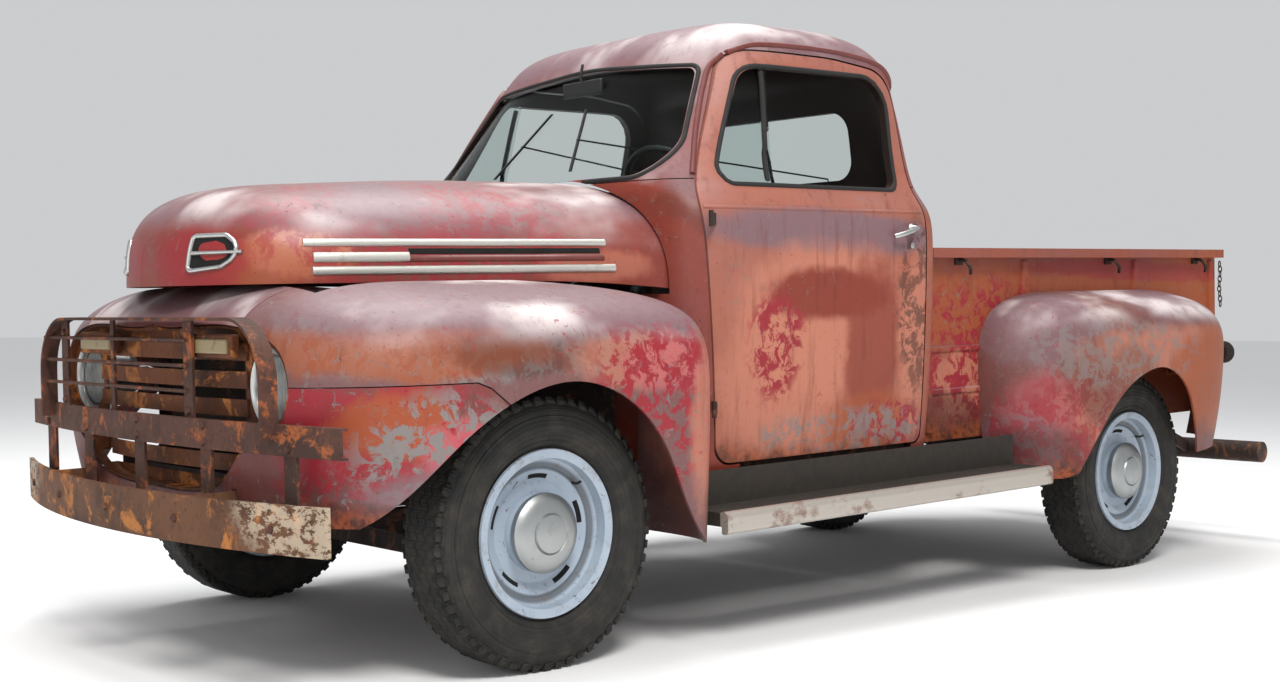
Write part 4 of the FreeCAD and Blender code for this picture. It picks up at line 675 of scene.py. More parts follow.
class FinishPanels(bpy.types.Operator):
    """Gives every fixed part of the truck its own weathered finish"""
    bl_idname = "truck.finish_panels"
    bl_label = "Paint and rust"

    def execute(self, context):
        colours = paint()
        red, deep = tuple(colours.sound), from_hex("6a2c22")
        # The point inside the cab that door and cab faces are darkened towards, as painted shade.
        middle = on_body(0, 1.2, 1.25)
        BRUSHED.update({
            "hood": old_paint("Hood paint", red, PATCHES["hood"], gloss=0.3, chalk_and_sheen=0.8, flakes=0.35, streaks=0.2),
            "front_fenders": old_paint("Front fender paint", from_hex("6c4845"), PATCHES["front_fenders"], gloss=0.33,
                                       chalk_and_sheen=1.0,
                                       flakes=0.8),
            "lower_front_panel": old_paint("Valance paint", from_hex("68332d"), PATCHES["lower_front_panel"],
                                           gloss=0.4, chalk_and_sheen=0.3,
                                           flakes=1.0, rust_low=0.44),
            "door": old_paint("Door paint", from_hex("9c5a45"), PATCHES["door"], gloss=0.42, chalk_and_sheen=0.2, flakes=0.45,
                              rust_low=0.52,
                              streaks=0.5, cover=middle),
            "cab": old_paint("Cab paint", red, PATCHES["cab"], gloss=0.36, chalk_and_sheen=0.85, flakes=0.3, streaks=0.4,
                             cover=middle),
            "rear_fenders": old_paint("Rear fender paint", from_hex("6a3b33"), PATCHES["rear_fenders"], gloss=0.4,
                                      chalk_and_sheen=1.0,
                                      flakes=0.7, rust_low=0.4),
            "bed": old_paint("Bed paint", from_hex("8c4631"), PATCHES["bed"], gloss=0.5, chalk_and_sheen=0.4, flakes=0.6,
                             rust_low=0.55),
            "trim_paint": old_paint("Trim paint", deep, [], gloss=0.45, chalk_and_sheen=0.3, flakes=0.3),
            "dash": old_paint("Dash paint", deep, [], gloss=0.4, chalk_and_sheen=0.2, flakes=0.1),
            "guard_rust": rusty_metal("Guard rust", "513328", "96522a"),
            "bumper_rust": rusty_metal("Bumper rust", "63402a", "a96a32", "c6b7a0",
                                       ((0.86, -2.38, 0.46), (0.22, 0.3, 0.12)), grain=9),
            "grille_rust": rusty_metal("Grille rust", "6a3a1c", "ad6a30", gloss=0.55, grain=8),
            "frame_rust": rusty_metal("Frame rust", "2e2420", "5c3a26", gloss=0.7),
            "dark_rust": rusty_metal("Pipe rust", "3a2a24", "6f4630", gloss=0.6),
            "floor_rust": rusty_metal("Floor rust", "3b2a22", "7d4a2a", gloss=0.8),
            "engine": rusty_metal("Engine iron", "3d3b39", "6b4a36", gloss=0.6),
            "chrome": plain_metal("Dull chrome", "b9bab8", rough=0.22, metallic=1.0, stains=0.45),
            "cap_metal": plain_metal("Cap steel", "a5a8a8", rough=0.3, metallic=1.0, stains=0.3),
            "alloy": plain_metal("Trim alloy", "c9c7c0", rough=0.32, metallic=0.85, stains=0.3),
            "board": running_board_metal("Running board steel"),
            "rubber": black_rubber("Window rubber"),
            "clear": window_glass("Window glass", "dfe8e6"),
            "leather": cracked_leather("Seat cover", "3a2a22"),
            "black": plain_metal("Black enamel", "151515", rough=0.35, metallic=0.0, stain="4a4038"),
            "shadow": plain_metal("Dark opening", "080706", rough=0.8, metallic=0.0, stain="120d0a"),
            "wood": worn_wood("Bed planks"),
            "red_lens": red_lens("Tail lens"),
            "amber": plain_metal("Parking lens", "8f7f5c", rough=0.25, metallic=0.0, stain="5a3d24", stains=0.6),
            "lamp": lamp_glass("Lamp lens", on_body(0.549, -0.65, 0.784)),
        })
        for end in ("front", "rear"):
            axle = Vector(JOINTS[f"wheel_{end}_left_spin"]["pos_m"])
            BRUSHED[f"tyre_{end}"] = black_rubber(f"Tyre rubber {end}", axle)
            BRUSHED[f"wheel_{end}"] = wheel_enamel(f"Wheel enamel {end}", axle)
        coat("hood", "hood", "nose_panel")
        coat("front_fenders", "front_fenders")
        coat("lower_front_panel", "lower_front_panel")
        coat("door", "door_left", "door_right")
        coat("cab", "cab_roof", "cab_cowl", "cab_back_panel")
        coat("rear_fenders", "rear_fenders")
        coat("bed", "bed_sides", "bed_front_panel", "tailgate")
        coat("dash", "dashboard")
        coat("guard_rust", "grille_guard")
        coat("bumper_rust", "front_bumper")
        coat("grille_rust", "grille_bars", "grille_surround")
        coat("frame_rust", "chassis_frame", "front_axle", "leaf_springs", "radiator", "rear_axle",
             "steering_knuckle_left",
             "steering_knuckle_right", "tie_rod", "inner_wheel_houses")
        coat("dark_rust", "exhaust", "rear_bumper")
        coat("floor_rust", "bed_floor", "cab_floor")
        coat("engine", "engine_block", "gearbox_and_drive_shaft")
        coat("chrome", "headlights")
        coat("lamp", "headlight_lenses")
        coat("board", "running_boards")
        coat("clear", "cab_glass", "vent_window_left", "vent_window_right")
        coat("black", "steering_wheel", "steering_column")
        coat("leather", "seat")
        for name, end, _ in WHEELS:
            coat(f"tyre_{end}", f"tyre_{name}")
            coat(f"wheel_{end}", f"wheel_{name}")
        missing = set(NODES) - {name for name,
                                node in NODES.items()
                                if any(slot in BRUSHED.values() for slot in node.data.materials)}
        if missing:
            raise RuntimeError(f"no finish for {sorted(missing)}")
        return {"FINISHED"}


def running_board_metal(name):
    """Black ribbed tread with a bright worn edge."""
    f = Finish(name)
    across = f.axis("X")
    width = across.math("ABSOLUTE", across, 0.0)
    edge = width.between(0.902, 0.906)
    stain = f.noise(7, 7.0, 0.7, stretch=(1, 0.6, 1)).between(0.5, 0.62)
    steel = f.mix(stain * 0.8, from_hex("b3aca3"), from_hex("6d4436"))
    tread = f.mix(f.noise(30, 6.0, 0.7), from_hex("151413"), from_hex("3a3128"))
    f.set("Base Color", f.mix(edge, tread, steel))
    f.set("Metallic", edge * 0.6 - stain * edge * 0.5)
    f.set("Roughness", 0.75 - edge * 0.35 + stain * edge * 0.3)
    ribs = width.wave(0.016).between(0.2, 0.6) * (1.0 - edge) * f.facing_up().between(0.5, 0.8)
    f.set("Normal", f.bump(ribs + f.noise(60, 5.0, 0.6) * 0.2, 0.004, 0.8))
    return f.material


class MakeTyres(bpy.types.Operator):
    """Tread blocks on both shoulders and rings on the sidewalls of the four tyres"""
    bl_idname = "truck.make_tyres"
    bl_label = "Tyres"

    def execute(self, context):
        count = fittings().lug_count
        for name, end, sign in WHEELS:
            hub = Vector(JOINTS[f"wheel_{name}_spin"]["pos_m"])
            tyre, blocks = f"tyre_{name}", Shape()
            low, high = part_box(tyre)
            reach = (high.x - low.x) / 2
            radius = (high.y - low.y) / 2
            middle = (high.x + low.x) / 2
            for face in (-1, 1):
                for k in range(count):
                    turn = 2 * math.pi * (k + 0.5 * (face > 0)) / count
                    out = Vector((0, math.cos(turn), math.sin(turn)))
                    along = Vector((0, -math.sin(turn), math.cos(turn)))
                    wide = 2 * math.pi * radius / count * 0.3
                    length = 0.026 if k % 2 else 0.019
                    tilt = (out * 0.5 + Vector((face * 0.86, 0, 0))).normalized()
                    across = along.cross(tilt)
                    centre = Vector((middle + face * (reach - 0.0215), hub.y, hub.z)) + out * (radius - 0.0145)
                    blocks.block(centre, along * wide, across * length * 0.5, tilt * 0.0085)
            blocks.piece(f"tread_blocks_{name}", f"wheel_{name}", "tyre_rubber", f"tyre_{end}", bevel=0.002,
                         segments=1)
            rings = Shape()
            for ring in (0.248, 0.315):
                place, _ = surface(tyre, hub + Vector((sign * 0.5, 0, ring)), (-sign, 0, 0))
                x = place.x - hub.x
                rings.lathe(hub, (1, 0, 0), [(ring - 0.004, x - sign * 0.004), (ring - 0.002, x + sign * 0.0016),
                                             (ring + 0.002, x + sign * 0.0016), (ring + 0.004, x - sign * 0.004)], 96,
                                             True)
            rings.piece(f"sidewall_rings_{name}", f"wheel_{name}", "tyre_rubber", f"tyre_{end}")
        return {"FINISHED"}


class MakeHubCaps(bpy.types.Operator):
    """Domed hub caps with a plain stepped centre, rim beads, near-black strips as painted shade in the disc slots,
    and valves
    """
    bl_idname = "truck.make_hub_caps"
    bl_label = "Hub caps"

    def execute(self, context):
        outer = fittings().cap_radius
        for name, end, sign in WHEELS:
            hub = Vector(JOINTS[f"wheel_{name}_spin"]["pos_m"])
            wheel, side = f"wheel_{name}", Vector((sign, 0, 0))
            face = max(abs(p.x - hub.x) for p in (surface(wheel, hub + side * 0.4 + Vector((0, 0.004, r)), -side)[0]
                                                   for r in (0.01, 0.05, 0.09)))
            rise = lambda r: face + 0.006 + 0.012 * (1 - (r / outer) ** 2)
            profile = [(outer - 0.002, face - 0.026), (outer + 0.001, face - 0.02), (outer, face - 0.006),
                       (outer - 0.008, face + 0.002),
                       (outer * 0.84, rise(0.84 * outer) - 0.002), (outer * 0.72, rise(outer * 0.72)),
                       (outer * 0.53, rise(outer * 0.53) + 0.001),
                       (outer * 0.5, rise(outer * 0.5) - 0.002), (outer * 0.47, rise(outer * 0.47) + 0.0035),
                       (outer * 0.3, rise(outer * 0.3) + 0.005), (0.0, rise(0.0) + 0.006)]
            Shape().lathe(hub, side, profile, 72).piece(f"hub_cap_{name}", wheel, "bright_metal", "cap_metal")
            # Painted shade: thin near-black strips laid on the disc where its slots are, standing in for the shade
            # inside them.
            slots = Shape()
            for k in range(5):
                turn = 2 * math.pi * k / 5 + 0.3
                path = []
                for step in range(9):
                    t = turn + (step / 8 - 0.5) * 0.42
                    start = hub + side * 0.4 + Vector((0, math.cos(t), math.sin(t))) * 0.152
                    path += laid(wheel, [start], -side)
                if len(path) > 3:
                    slots.sweep(path, rounded_section(0.007, 0.0012))
            slots.piece(f"disc_slot_shades_{name}", wheel, "wheel_paint", "shadow")
            start, _ = surface(wheel, hub + side * 0.4 + Vector((0, 0.12, 0.125)), -side)
            Shape().tube([start - side * 0.004, start + side * 0.02,
                          start + side * 0.032 + Vector((0, 0.004, 0.006))], 0.004).piece(
                f"valve_{name}", wheel, "tyre_rubber", "rubber")
        return {"FINISHED"}


class MakeFront(bpy.types.Operator):
    """Lamp rims and parking lamps, and the bolts of the grille and its guard"""
    bl_idname = "truck.make_front"
    bl_label = "Grille, lamps and guard"

    def execute(self, context):
        for side_name, side in SIDES.items():
            lamp = on_body(side * 0.549, -0.648, 0.784)
            rim = [(0.092, 0.0), (0.096, 0.012), (0.102, 0.016), (0.109, 0.011), (0.113, 0.0), (0.114, -0.02),
                   (0.1, -0.02)]
            Shape().lathe(lamp, -BACK, rim, 64, True).piece(f"lamp_rim_{side_name}", "truck", "bright_metal",
                                                            "chrome")
            screw = lamp - UP * 0.108 - BACK * 0.006
            Shape().lathe(screw, -BACK, [(0.006, 0), (0.005, 0.005), (0, 0.006)], 12).piece(
                f"lamp_screw_{side_name}", "truck", "bright_metal", "chrome")
            across, out = Vector((side, 0, 0)), -BACK
            middle = on_body(side * 0.352, -0.716, 0.891)
            case = Shape().block(middle, across * 0.118, UP * 0.031, out * 0.012)
            case.piece(f"parking_lamp_case_{side_name}", "truck", "rusty_steel", "grille_rust", bevel=0.006,
                       segments=3)
            lens = Shape().block(middle + out * 0.013, across * 0.1, UP * 0.019, out * 0.006)
            lens.piece(f"parking_lamp_lens_{side_name}", "truck", "clear_glass", "amber", bevel=0.005, segments=3)
        heads, radius = Shape(), fittings().bolt_radius
        places = [("grille_guard", x, z) for x in (-0.73, -0.365, 0.0, 0.365, 0.73) for z in (0.645, 0.687)]
        places += [("front_bumper", x, 0.457) for x in (-0.73, -0.365, 0.0, 0.365, 0.73)]
        places += [("grille_guard", 0.262, z) for z in (0.72, 0.92)] + [("grille_guard", -0.54, z)
                                                                        for z in (0.72, 0.92)]
        places += [("grille_bars", x, 0.875 - 0.022 - k * 0.0725) for x in (-0.4, 0.4, 0.0) for k in range(5)]
        for node, x, z in places:
            for place, normal in laid(node, [on_body(x, -1.6, z)], BACK):
                size = radius * (0.75 if node == "grille_bars" else 1)
                heads.lathe(place - normal * 0.003, normal,
                            [(size, 0), (size, 0.008), (size * 0.8, 0.0105), (0, 0.011)], 6)
        heads.piece("front_bolts", "truck", "rusty_steel", "guard_rust")
        return {"FINISHED"}


class MakeHoodTrim(bpy.types.Operator):
    """The pairs of side mouldings, blank plates and D-shaped nostrils of the hood, with near-black strips as painted
    shade in the side slot and the nostril mouths
    """
    bl_idname = "truck.make_hood_trim"
    bl_label = "Hood trim"

    def strip(self, side, front, rear, height, half, thick=0.008):
        count = 44
        points = [on_body(side * 1.2, front + (rear - front) * k / count, height) for k in range(count + 1)]
        return Shape().sweep(laid("hood", points, (-side, 0, 0)), rounded_section(half, thick))

    def execute(self, context):
        for name, side in SIDES.items():
            for label, front, rear, height, half in (("upper", -0.49, 0.425, 1.158, 0.011),
                                                     ("lower", -0.475, 0.445, 1.083, 0.012),
                                                     ("middle", -0.47, -0.2, 1.119, 0.014)):
                self.strip(side, front, rear, height, half).piece(f"hood_moulding_{label}_{name}", "hood",
                                                                  "bright_metal", "alloy",
                                                                   bevel=0.002)
            # Painted shade: a near-black strip stands in for the shade in the slot between the mouldings.
            self.strip(side, -0.2, 0.4, 1.134, 0.0085, 0.0015).piece(f"hood_slot_shade_{name}", "hood", "dark_steel",
                                                                     "shadow")
            self.strip(side, -0.23, 0.41, 1.114, 0.009, 0.006).piece(f"hood_rib_{name}", "hood", "faded_paint",
                                                                     "trim_paint")
            corners = [(0.185, 1.088), (0.29, 1.098), (0.352, 1.138), (0.29, 1.182), (0.195, 1.182)]
            outline = spread(rounded_loop(corners, [0.012, 0.02, 0.035, 0.02, 0.012]), 0.006)
            loop = laid("hood", [on_body(side * p.x, -1.6, p.y) for p in outline], BACK)
            Shape().sweep(loop, rounded_section(0.007, 0.009), closed=True).piece(
                f"nostril_rim_{name}", "hood", "bright_metal", "chrome")
            middle = sum((p for p, _ in loop), Vector()) / len(loop)
            # Painted shade: a near-black sheet fills the nostril's mouth, standing in for the shade inside it.
            dark = Shape()
            dark.rings([[p + n * 0.002 for p, n in loop], [middle + (p - middle) * 0.5 + n * 0.003 for p, n in loop],
                        [middle + (p - middle) * 0.02 + n * 0.003 for p, n in loop]])
            dark.piece(f"nostril_mouth_shade_{name}", "hood", "dark_steel", "shadow")
            bar = [on_body(side * (0.2 + 0.14 * k / 10), -1.6, 1.136) for k in range(11)]
            Shape().sweep(laid("hood", bar, BACK), rounded_section(0.006, 0.01)).piece(
                f"nostril_bar_{name}", "hood", "bright_metal", "chrome")
        return {"FINISHED"}


def window_outline(margin=0.0):
    low, high = 1.342 - margin, 1.714 + margin
    front, rear = 0.782 - margin, 1.62 + margin
    return rounded_loop([(front, low), (rear, low), (rear + 0.028, high), (front + 0.203, high - 0.002)],
                        [0.045, 0.05, 0.11, 0.1])


class MakeCabTrim(bpy.types.Operator):
    """Window rubbers, drip mouldings, wipers and the mirror of the cab"""
    bl_idname = "truck.make_cab_trim"
    bl_label = "Cab trim"

    def execute(self, context):
        half = fittings().rubber_width / 2
        section = rounded_section(half, 0.006)
        low, foot, head = 1.368 - half, 0.622 + half, 0.508 + half
        corners = [(-foot, low), (foot, low), (head, 1.716 + half), (0, 1.757 + half), (-head, 1.716 + half)]
        outline = spread(rounded_loop(corners, [0.1, 0.1, 0.045, 1.5, 0.045], 12), 0.02)
        loop = laid("cab_roof", [on_body(p.x, 0.2, p.y) for p in outline], BACK)
        Shape().sweep(loop, section, closed=True).piece("windshield_rubber", "truck", "dark_plastic", "rubber")
        corners = [(-0.4 - half, 1.398 - half), (0.4 + half, 1.398 - half), (0.4 + half, 1.638 + half),
                   (-0.4 - half, 1.638 + half)]
        outline = spread(rounded_loop(corners, [0.07] * 4), 0.02)
        loop = laid("cab_roof", [on_body(p.x, 2.6, p.y) for p in outline], -BACK)
        Shape().sweep(loop, section, closed=True).piece("rear_window_rubber", "truck", "dark_plastic", "rubber")
        for name, side in SIDES.items():
            outline = spread(window_outline(half * 0.8), 0.02)
            loop = laid(f"door_{name}", [on_body(side * 1.2, p.x, p.y) for p in outline], (-side, 0, 0))
            Shape().sweep(loop, section, closed=True).piece(f"door_window_rubber_{name}", f"door_{name}",
                                                            "dark_plastic", "rubber")
            bar = [on_body(side * 1.2, 1.012 + 0.05 * k / 16, 1.352 + 0.35 * k / 16) for k in range(17)]
            bar = [(place, Vector((side, 0, 0))) for place, _ in laid(f"vent_window_{name}", bar, (-side, 0, 0))]
            Shape().sweep(bar, rounded_section(0.009, 0.009, -0.004)).piece(
                f"vent_bar_{name}", f"door_{name}", "dark_plastic", "rubber")
            route = curve_points([(0.684, 1.3, 0), (0.752, 1.425, 0), (0.806, 1.53, 0), (0.868, 1.64, 0),
                                  (0.935, 1.735, 0),
                                  (1.03, 1.782, 0), (1.12, 1.793, 0), (1.36, 1.797, 0), (1.53, 1.787, 0),
                                  (1.67, 1.757, 0),
                                  (1.745, 1.68, 0)], 8)
            drip = laid("cab_roof", [on_body(side * 1.2, p.x, p.y) for p in route], (-side, 0, 0))
            Shape().sweep(drip, rounded_section(0.009, 0.012)).piece(f"drip_moulding_{name}", "truck", "faded_paint",
                                                                     "trim_paint")
            base, _ = surface("cab_roof", on_body(side * 0.3, 0.2, 1.375), BACK)
            blade_low, _ = surface("cab_glass", on_body(side * 0.2, 0.2, 1.4), BACK)
            blade_high, _ = surface("cab_glass", on_body(side * 0.09, 0.2, 1.62), BACK)
            arm = Shape().tube([base - BACK * 0.012 - UP * 0.012, base - BACK * 0.02 + UP * 0.03,
                                (blade_low + blade_high) / 2 - BACK * 0.014],
                               0.003)
            arm.block((blade_low + blade_high) / 2 - BACK * 0.007, (blade_high - blade_low) * 0.5,
                      Vector((0.004, 0, 0)), BACK * 0.004)
            arm.lathe(base - UP * 0.014 - BACK * 0.002, -BACK,
                      [(0.013, 0), (0.012, 0.01), (0.005, 0.016), (0, 0.017)], 16)
            arm.piece(f"wiper_{name}", "truck", "dark_plastic", "black")
        place = on_body(0, 0.86, 1.7)
        mirror = Shape().block(place, Vector((0.1, 0, 0)), UP * 0.026, BACK * 0.008)
        mirror.tube([place, place + UP * 0.04 - BACK * 0.01, place + UP * 0.085], 0.005)
        mirror.piece("cab_mirror", "truck", "dark_plastic", "black", bevel=0.006, segments=3)
        return {"FINISHED"}


class MakeDoorFittings(bpy.types.Operator):
    """Pull handles, lock barrels and hinges of the doors, with the belt moulding over them"""
    bl_idname = "truck.make_door_fittings"
    bl_label = "Door fittings"

    def execute(self, context):
        for name, side in SIDES.items():
            door, out = f"door_{name}", Vector((side, 0, 0))
            pivot, _ = surface(door, on_body(side * 1.2, 1.628, 1.206), -out)
            grip, _ = surface(door, on_body(side * 1.2, 1.515, 1.178), -out)
            handle = Shape().lathe(pivot - out * 0.002, out,
                                   [(0.017, 0), (0.017, 0.005), (0.011, 0.012), (0.009, 0.03), (0, 0.031)], 24)
            bar = curve_points([pivot + out * 0.022 + BACK * 0.006, pivot.lerp(grip, 0.3) + out * 0.034,
                                pivot.lerp(grip, 0.7) + out * 0.032, grip + out * 0.018], 6)
            handle.sweep([(p, out) for p in bar], rounded_section(0.0085, 0.008))
            handle.piece(f"door_handle_{name}", door, "bright_metal", "chrome", bevel=0.001)
            lock, _ = surface(door, on_body(side * 1.2, 1.63, 1.15), -out)
            Shape().lathe(lock - out * 0.002, out, [(0.01, 0), (0.01, 0.004), (0.006, 0.006), (0, 0.006)], 20).piece(
                f"door_lock_{name}", door, "bright_metal", "chrome")
            hinges = Shape()
            for height in (1.225, 0.66):
                leaf, _ = surface(door, on_body(side * 1.2, 0.728, height), -out)
                knuckle = on_body(JOINTS[f"door_{name}_hinge"]["pos_m"][0], 0.676, height)
                hinges.tube([knuckle - UP * 0.024, knuckle + UP * 0.024], 0.0075, 14)
                hinges.block((leaf + knuckle) / 2, (leaf - knuckle) * 0.5, UP * 0.018, out * 0.003)
            hinges.piece(f"door_hinges_{name}", door, "dark_steel", "frame_rust")
            points = [on_body(side * 1.2, 0.7 + 0.995 * k / 60, 1.262) for k in range(61)]
            Shape().sweep(laid(door, points, -out), rounded_section(0.006, 0.0035)).piece(
                f"belt_moulding_{name}", door, "faded_paint", "door")
        return {"FINISHED"}


class MakeLoadBed(bpy.types.Operator):
    """Planks and strips of the load bed, side ribs, hooks, chains, latches and tail lamps"""
    bl_idname = "truck.make_load_bed"
    bl_label = "Load bed"

    def execute(self, context):
        count, front, rear, half = fittings().plank_count, 1.858, 3.812, 0.582
        pitch = 2 * half / count
        planks, strips = Shape(), Shape()
        for k in range(count):
            x = -half + pitch * (k + 0.5)
            planks.block(on_body(x, (front + rear) / 2, 0.624), Vector((pitch * 0.46, 0, 0)),
                         BACK * ((rear - front) / 2), UP * 0.006)
            if k:
                strips.block(on_body(x - pitch / 2, (front + rear) / 2, 0.629), Vector((0.009, 0, 0)),
                             BACK * ((rear - front) / 2),
                             UP * 0.003)
        planks.piece("bed_planks", "truck", "dark_steel", "wood", bevel=0.003)
        strips.piece("bed_strips", "truck", "dark_steel", "floor_rust", bevel=0.0015)
        for name, side in SIDES.items():
            out = Vector((side, 0, 0))
            ribs = Shape()
            for y, top in ((1.86, 1.1), (2.44, 1.1), (3.2, 1.1), (3.79, 1.1)):
                points = [on_body(side * 1.3, y, 0.5 + (top - 0.5) * k / 20) for k in range(21)]
                ribs.sweep(laid("bed_sides", points, -out),
                           [(-0.02, 0.0), (-0.014, 0.012), (0.014, 0.012), (0.02, 0.0), (0.02, -0.002),
                            (-0.02, -0.002)])
            for height in (0.79, 0.64):
                points = [on_body(side * 1.3, 1.88 + (3.78 - 1.88) * k / 50, height) for k in range(51)]
                found = laid("bed_sides", points, -out)
                found = [item for item in found if abs(item[0].x) > 0.63]
                ahead = [item for item in found if item[0].y < on_body(0, 2.45, 0).y]
                behind = [item for item in found if item[0].y > on_body(0, 3.4, 0).y]
                for part in (ahead, behind):
                    ribs.sweep(part, rounded_section(0.012, 0.007))
            ribs.piece(f"bed_side_ribs_{name}", "truck", "faded_paint", "bed", bevel=0.002)
            hooks = Shape()
            for y in (2.04, 3.0, 3.66):
                top = on_body(side * 0.655, y, 1.105)
                hooks.tube(curve_points([top, top + out * 0.03 - UP * 0.004,
                                         top + out * 0.042 - UP * 0.03 + BACK * 0.012,
                                         top + out * 0.03 - UP * 0.05 + BACK * 0.03], 5), 0.006)
                hooks.block(top, out * 0.004, UP * 0.018, BACK * 0.02)
            hooks.piece(f"rope_hooks_{name}", "truck", "rusty_steel", "dark_rust")
            links = Shape()
            for k in range(9):
                centre = on_body(side * 0.672, 3.835 + 0.004 * math.sin(k), 1.085 - k * 0.021)
                wide = out if k % 2 else BACK
                ring = [centre + wide * (0.0075 * math.cos(t)) + UP * (0.014 * math.sin(t)) for t in
                        (2 * math.pi * j / 12 for j in range(13))]
                links.tube(ring, 0.0024, 6)
            links.piece(f"tailgate_chain_{name}", "truck", "rusty_steel", "dark_rust")
            hold, _ = surface("tailgate", on_body(side * 0.58, 4.3, 1.05), -BACK)
            latch = Shape().block(hold + BACK * 0.006, out * 0.035, UP * 0.012, BACK * 0.006)
            latch.block(hold + BACK * 0.012 + out * 0.02, out * 0.008, UP * 0.035, BACK * 0.005)
            latch.piece(f"gate_latch_{name}", "tailgate", "rusty_steel", "dark_rust", bevel=0.002)
            place, _ = surface("rear_fenders", on_body(side * 0.8, 4.4, 0.72), -BACK)
            stalk = place + BACK * 0.004
            lamp = Shape().lathe(stalk, BACK,
                                 [(0.03, -0.01), (0.043, 0.006), (0.045, 0.02), (0.04, 0.023), (0.038, 0.018),
                                  (0.0, 0.018)], 32)
            lamp.piece(f"tail_lamp_case_{name}", "truck", "dark_steel", "frame_rust")
            Shape().lathe(stalk, BACK, [(0.037, 0.014), (0.036, 0.023), (0.02, 0.029), (0.0, 0.031)], 32).piece(
                f"tail_lamp_lens_{name}", "truck", "clear_glass", "red_lens")
        gate = Shape()
        for height in (0.7, 0.86, 1.02):
            path = laid("tailgate", [on_body(-0.5 + k / 30, 4.3, height) for k in range(31)], -BACK)
            gate.sweep(path, rounded_section(0.022, 0.007))
        gate.piece("tailgate_pressings", "tailgate", "faded_paint", "bed")
        plate, _ = surface("tailgate", on_body(-0.33, 4.3, 0.78), -BACK)
        Shape().block(plate + BACK * 0.006, Vector((0.15, 0, 0)), UP * 0.05, BACK * 0.001).piece(
            "blank_plate", "tailgate", "bright_metal", "alloy", bevel=0.0008)
        return {"FINISHED"}


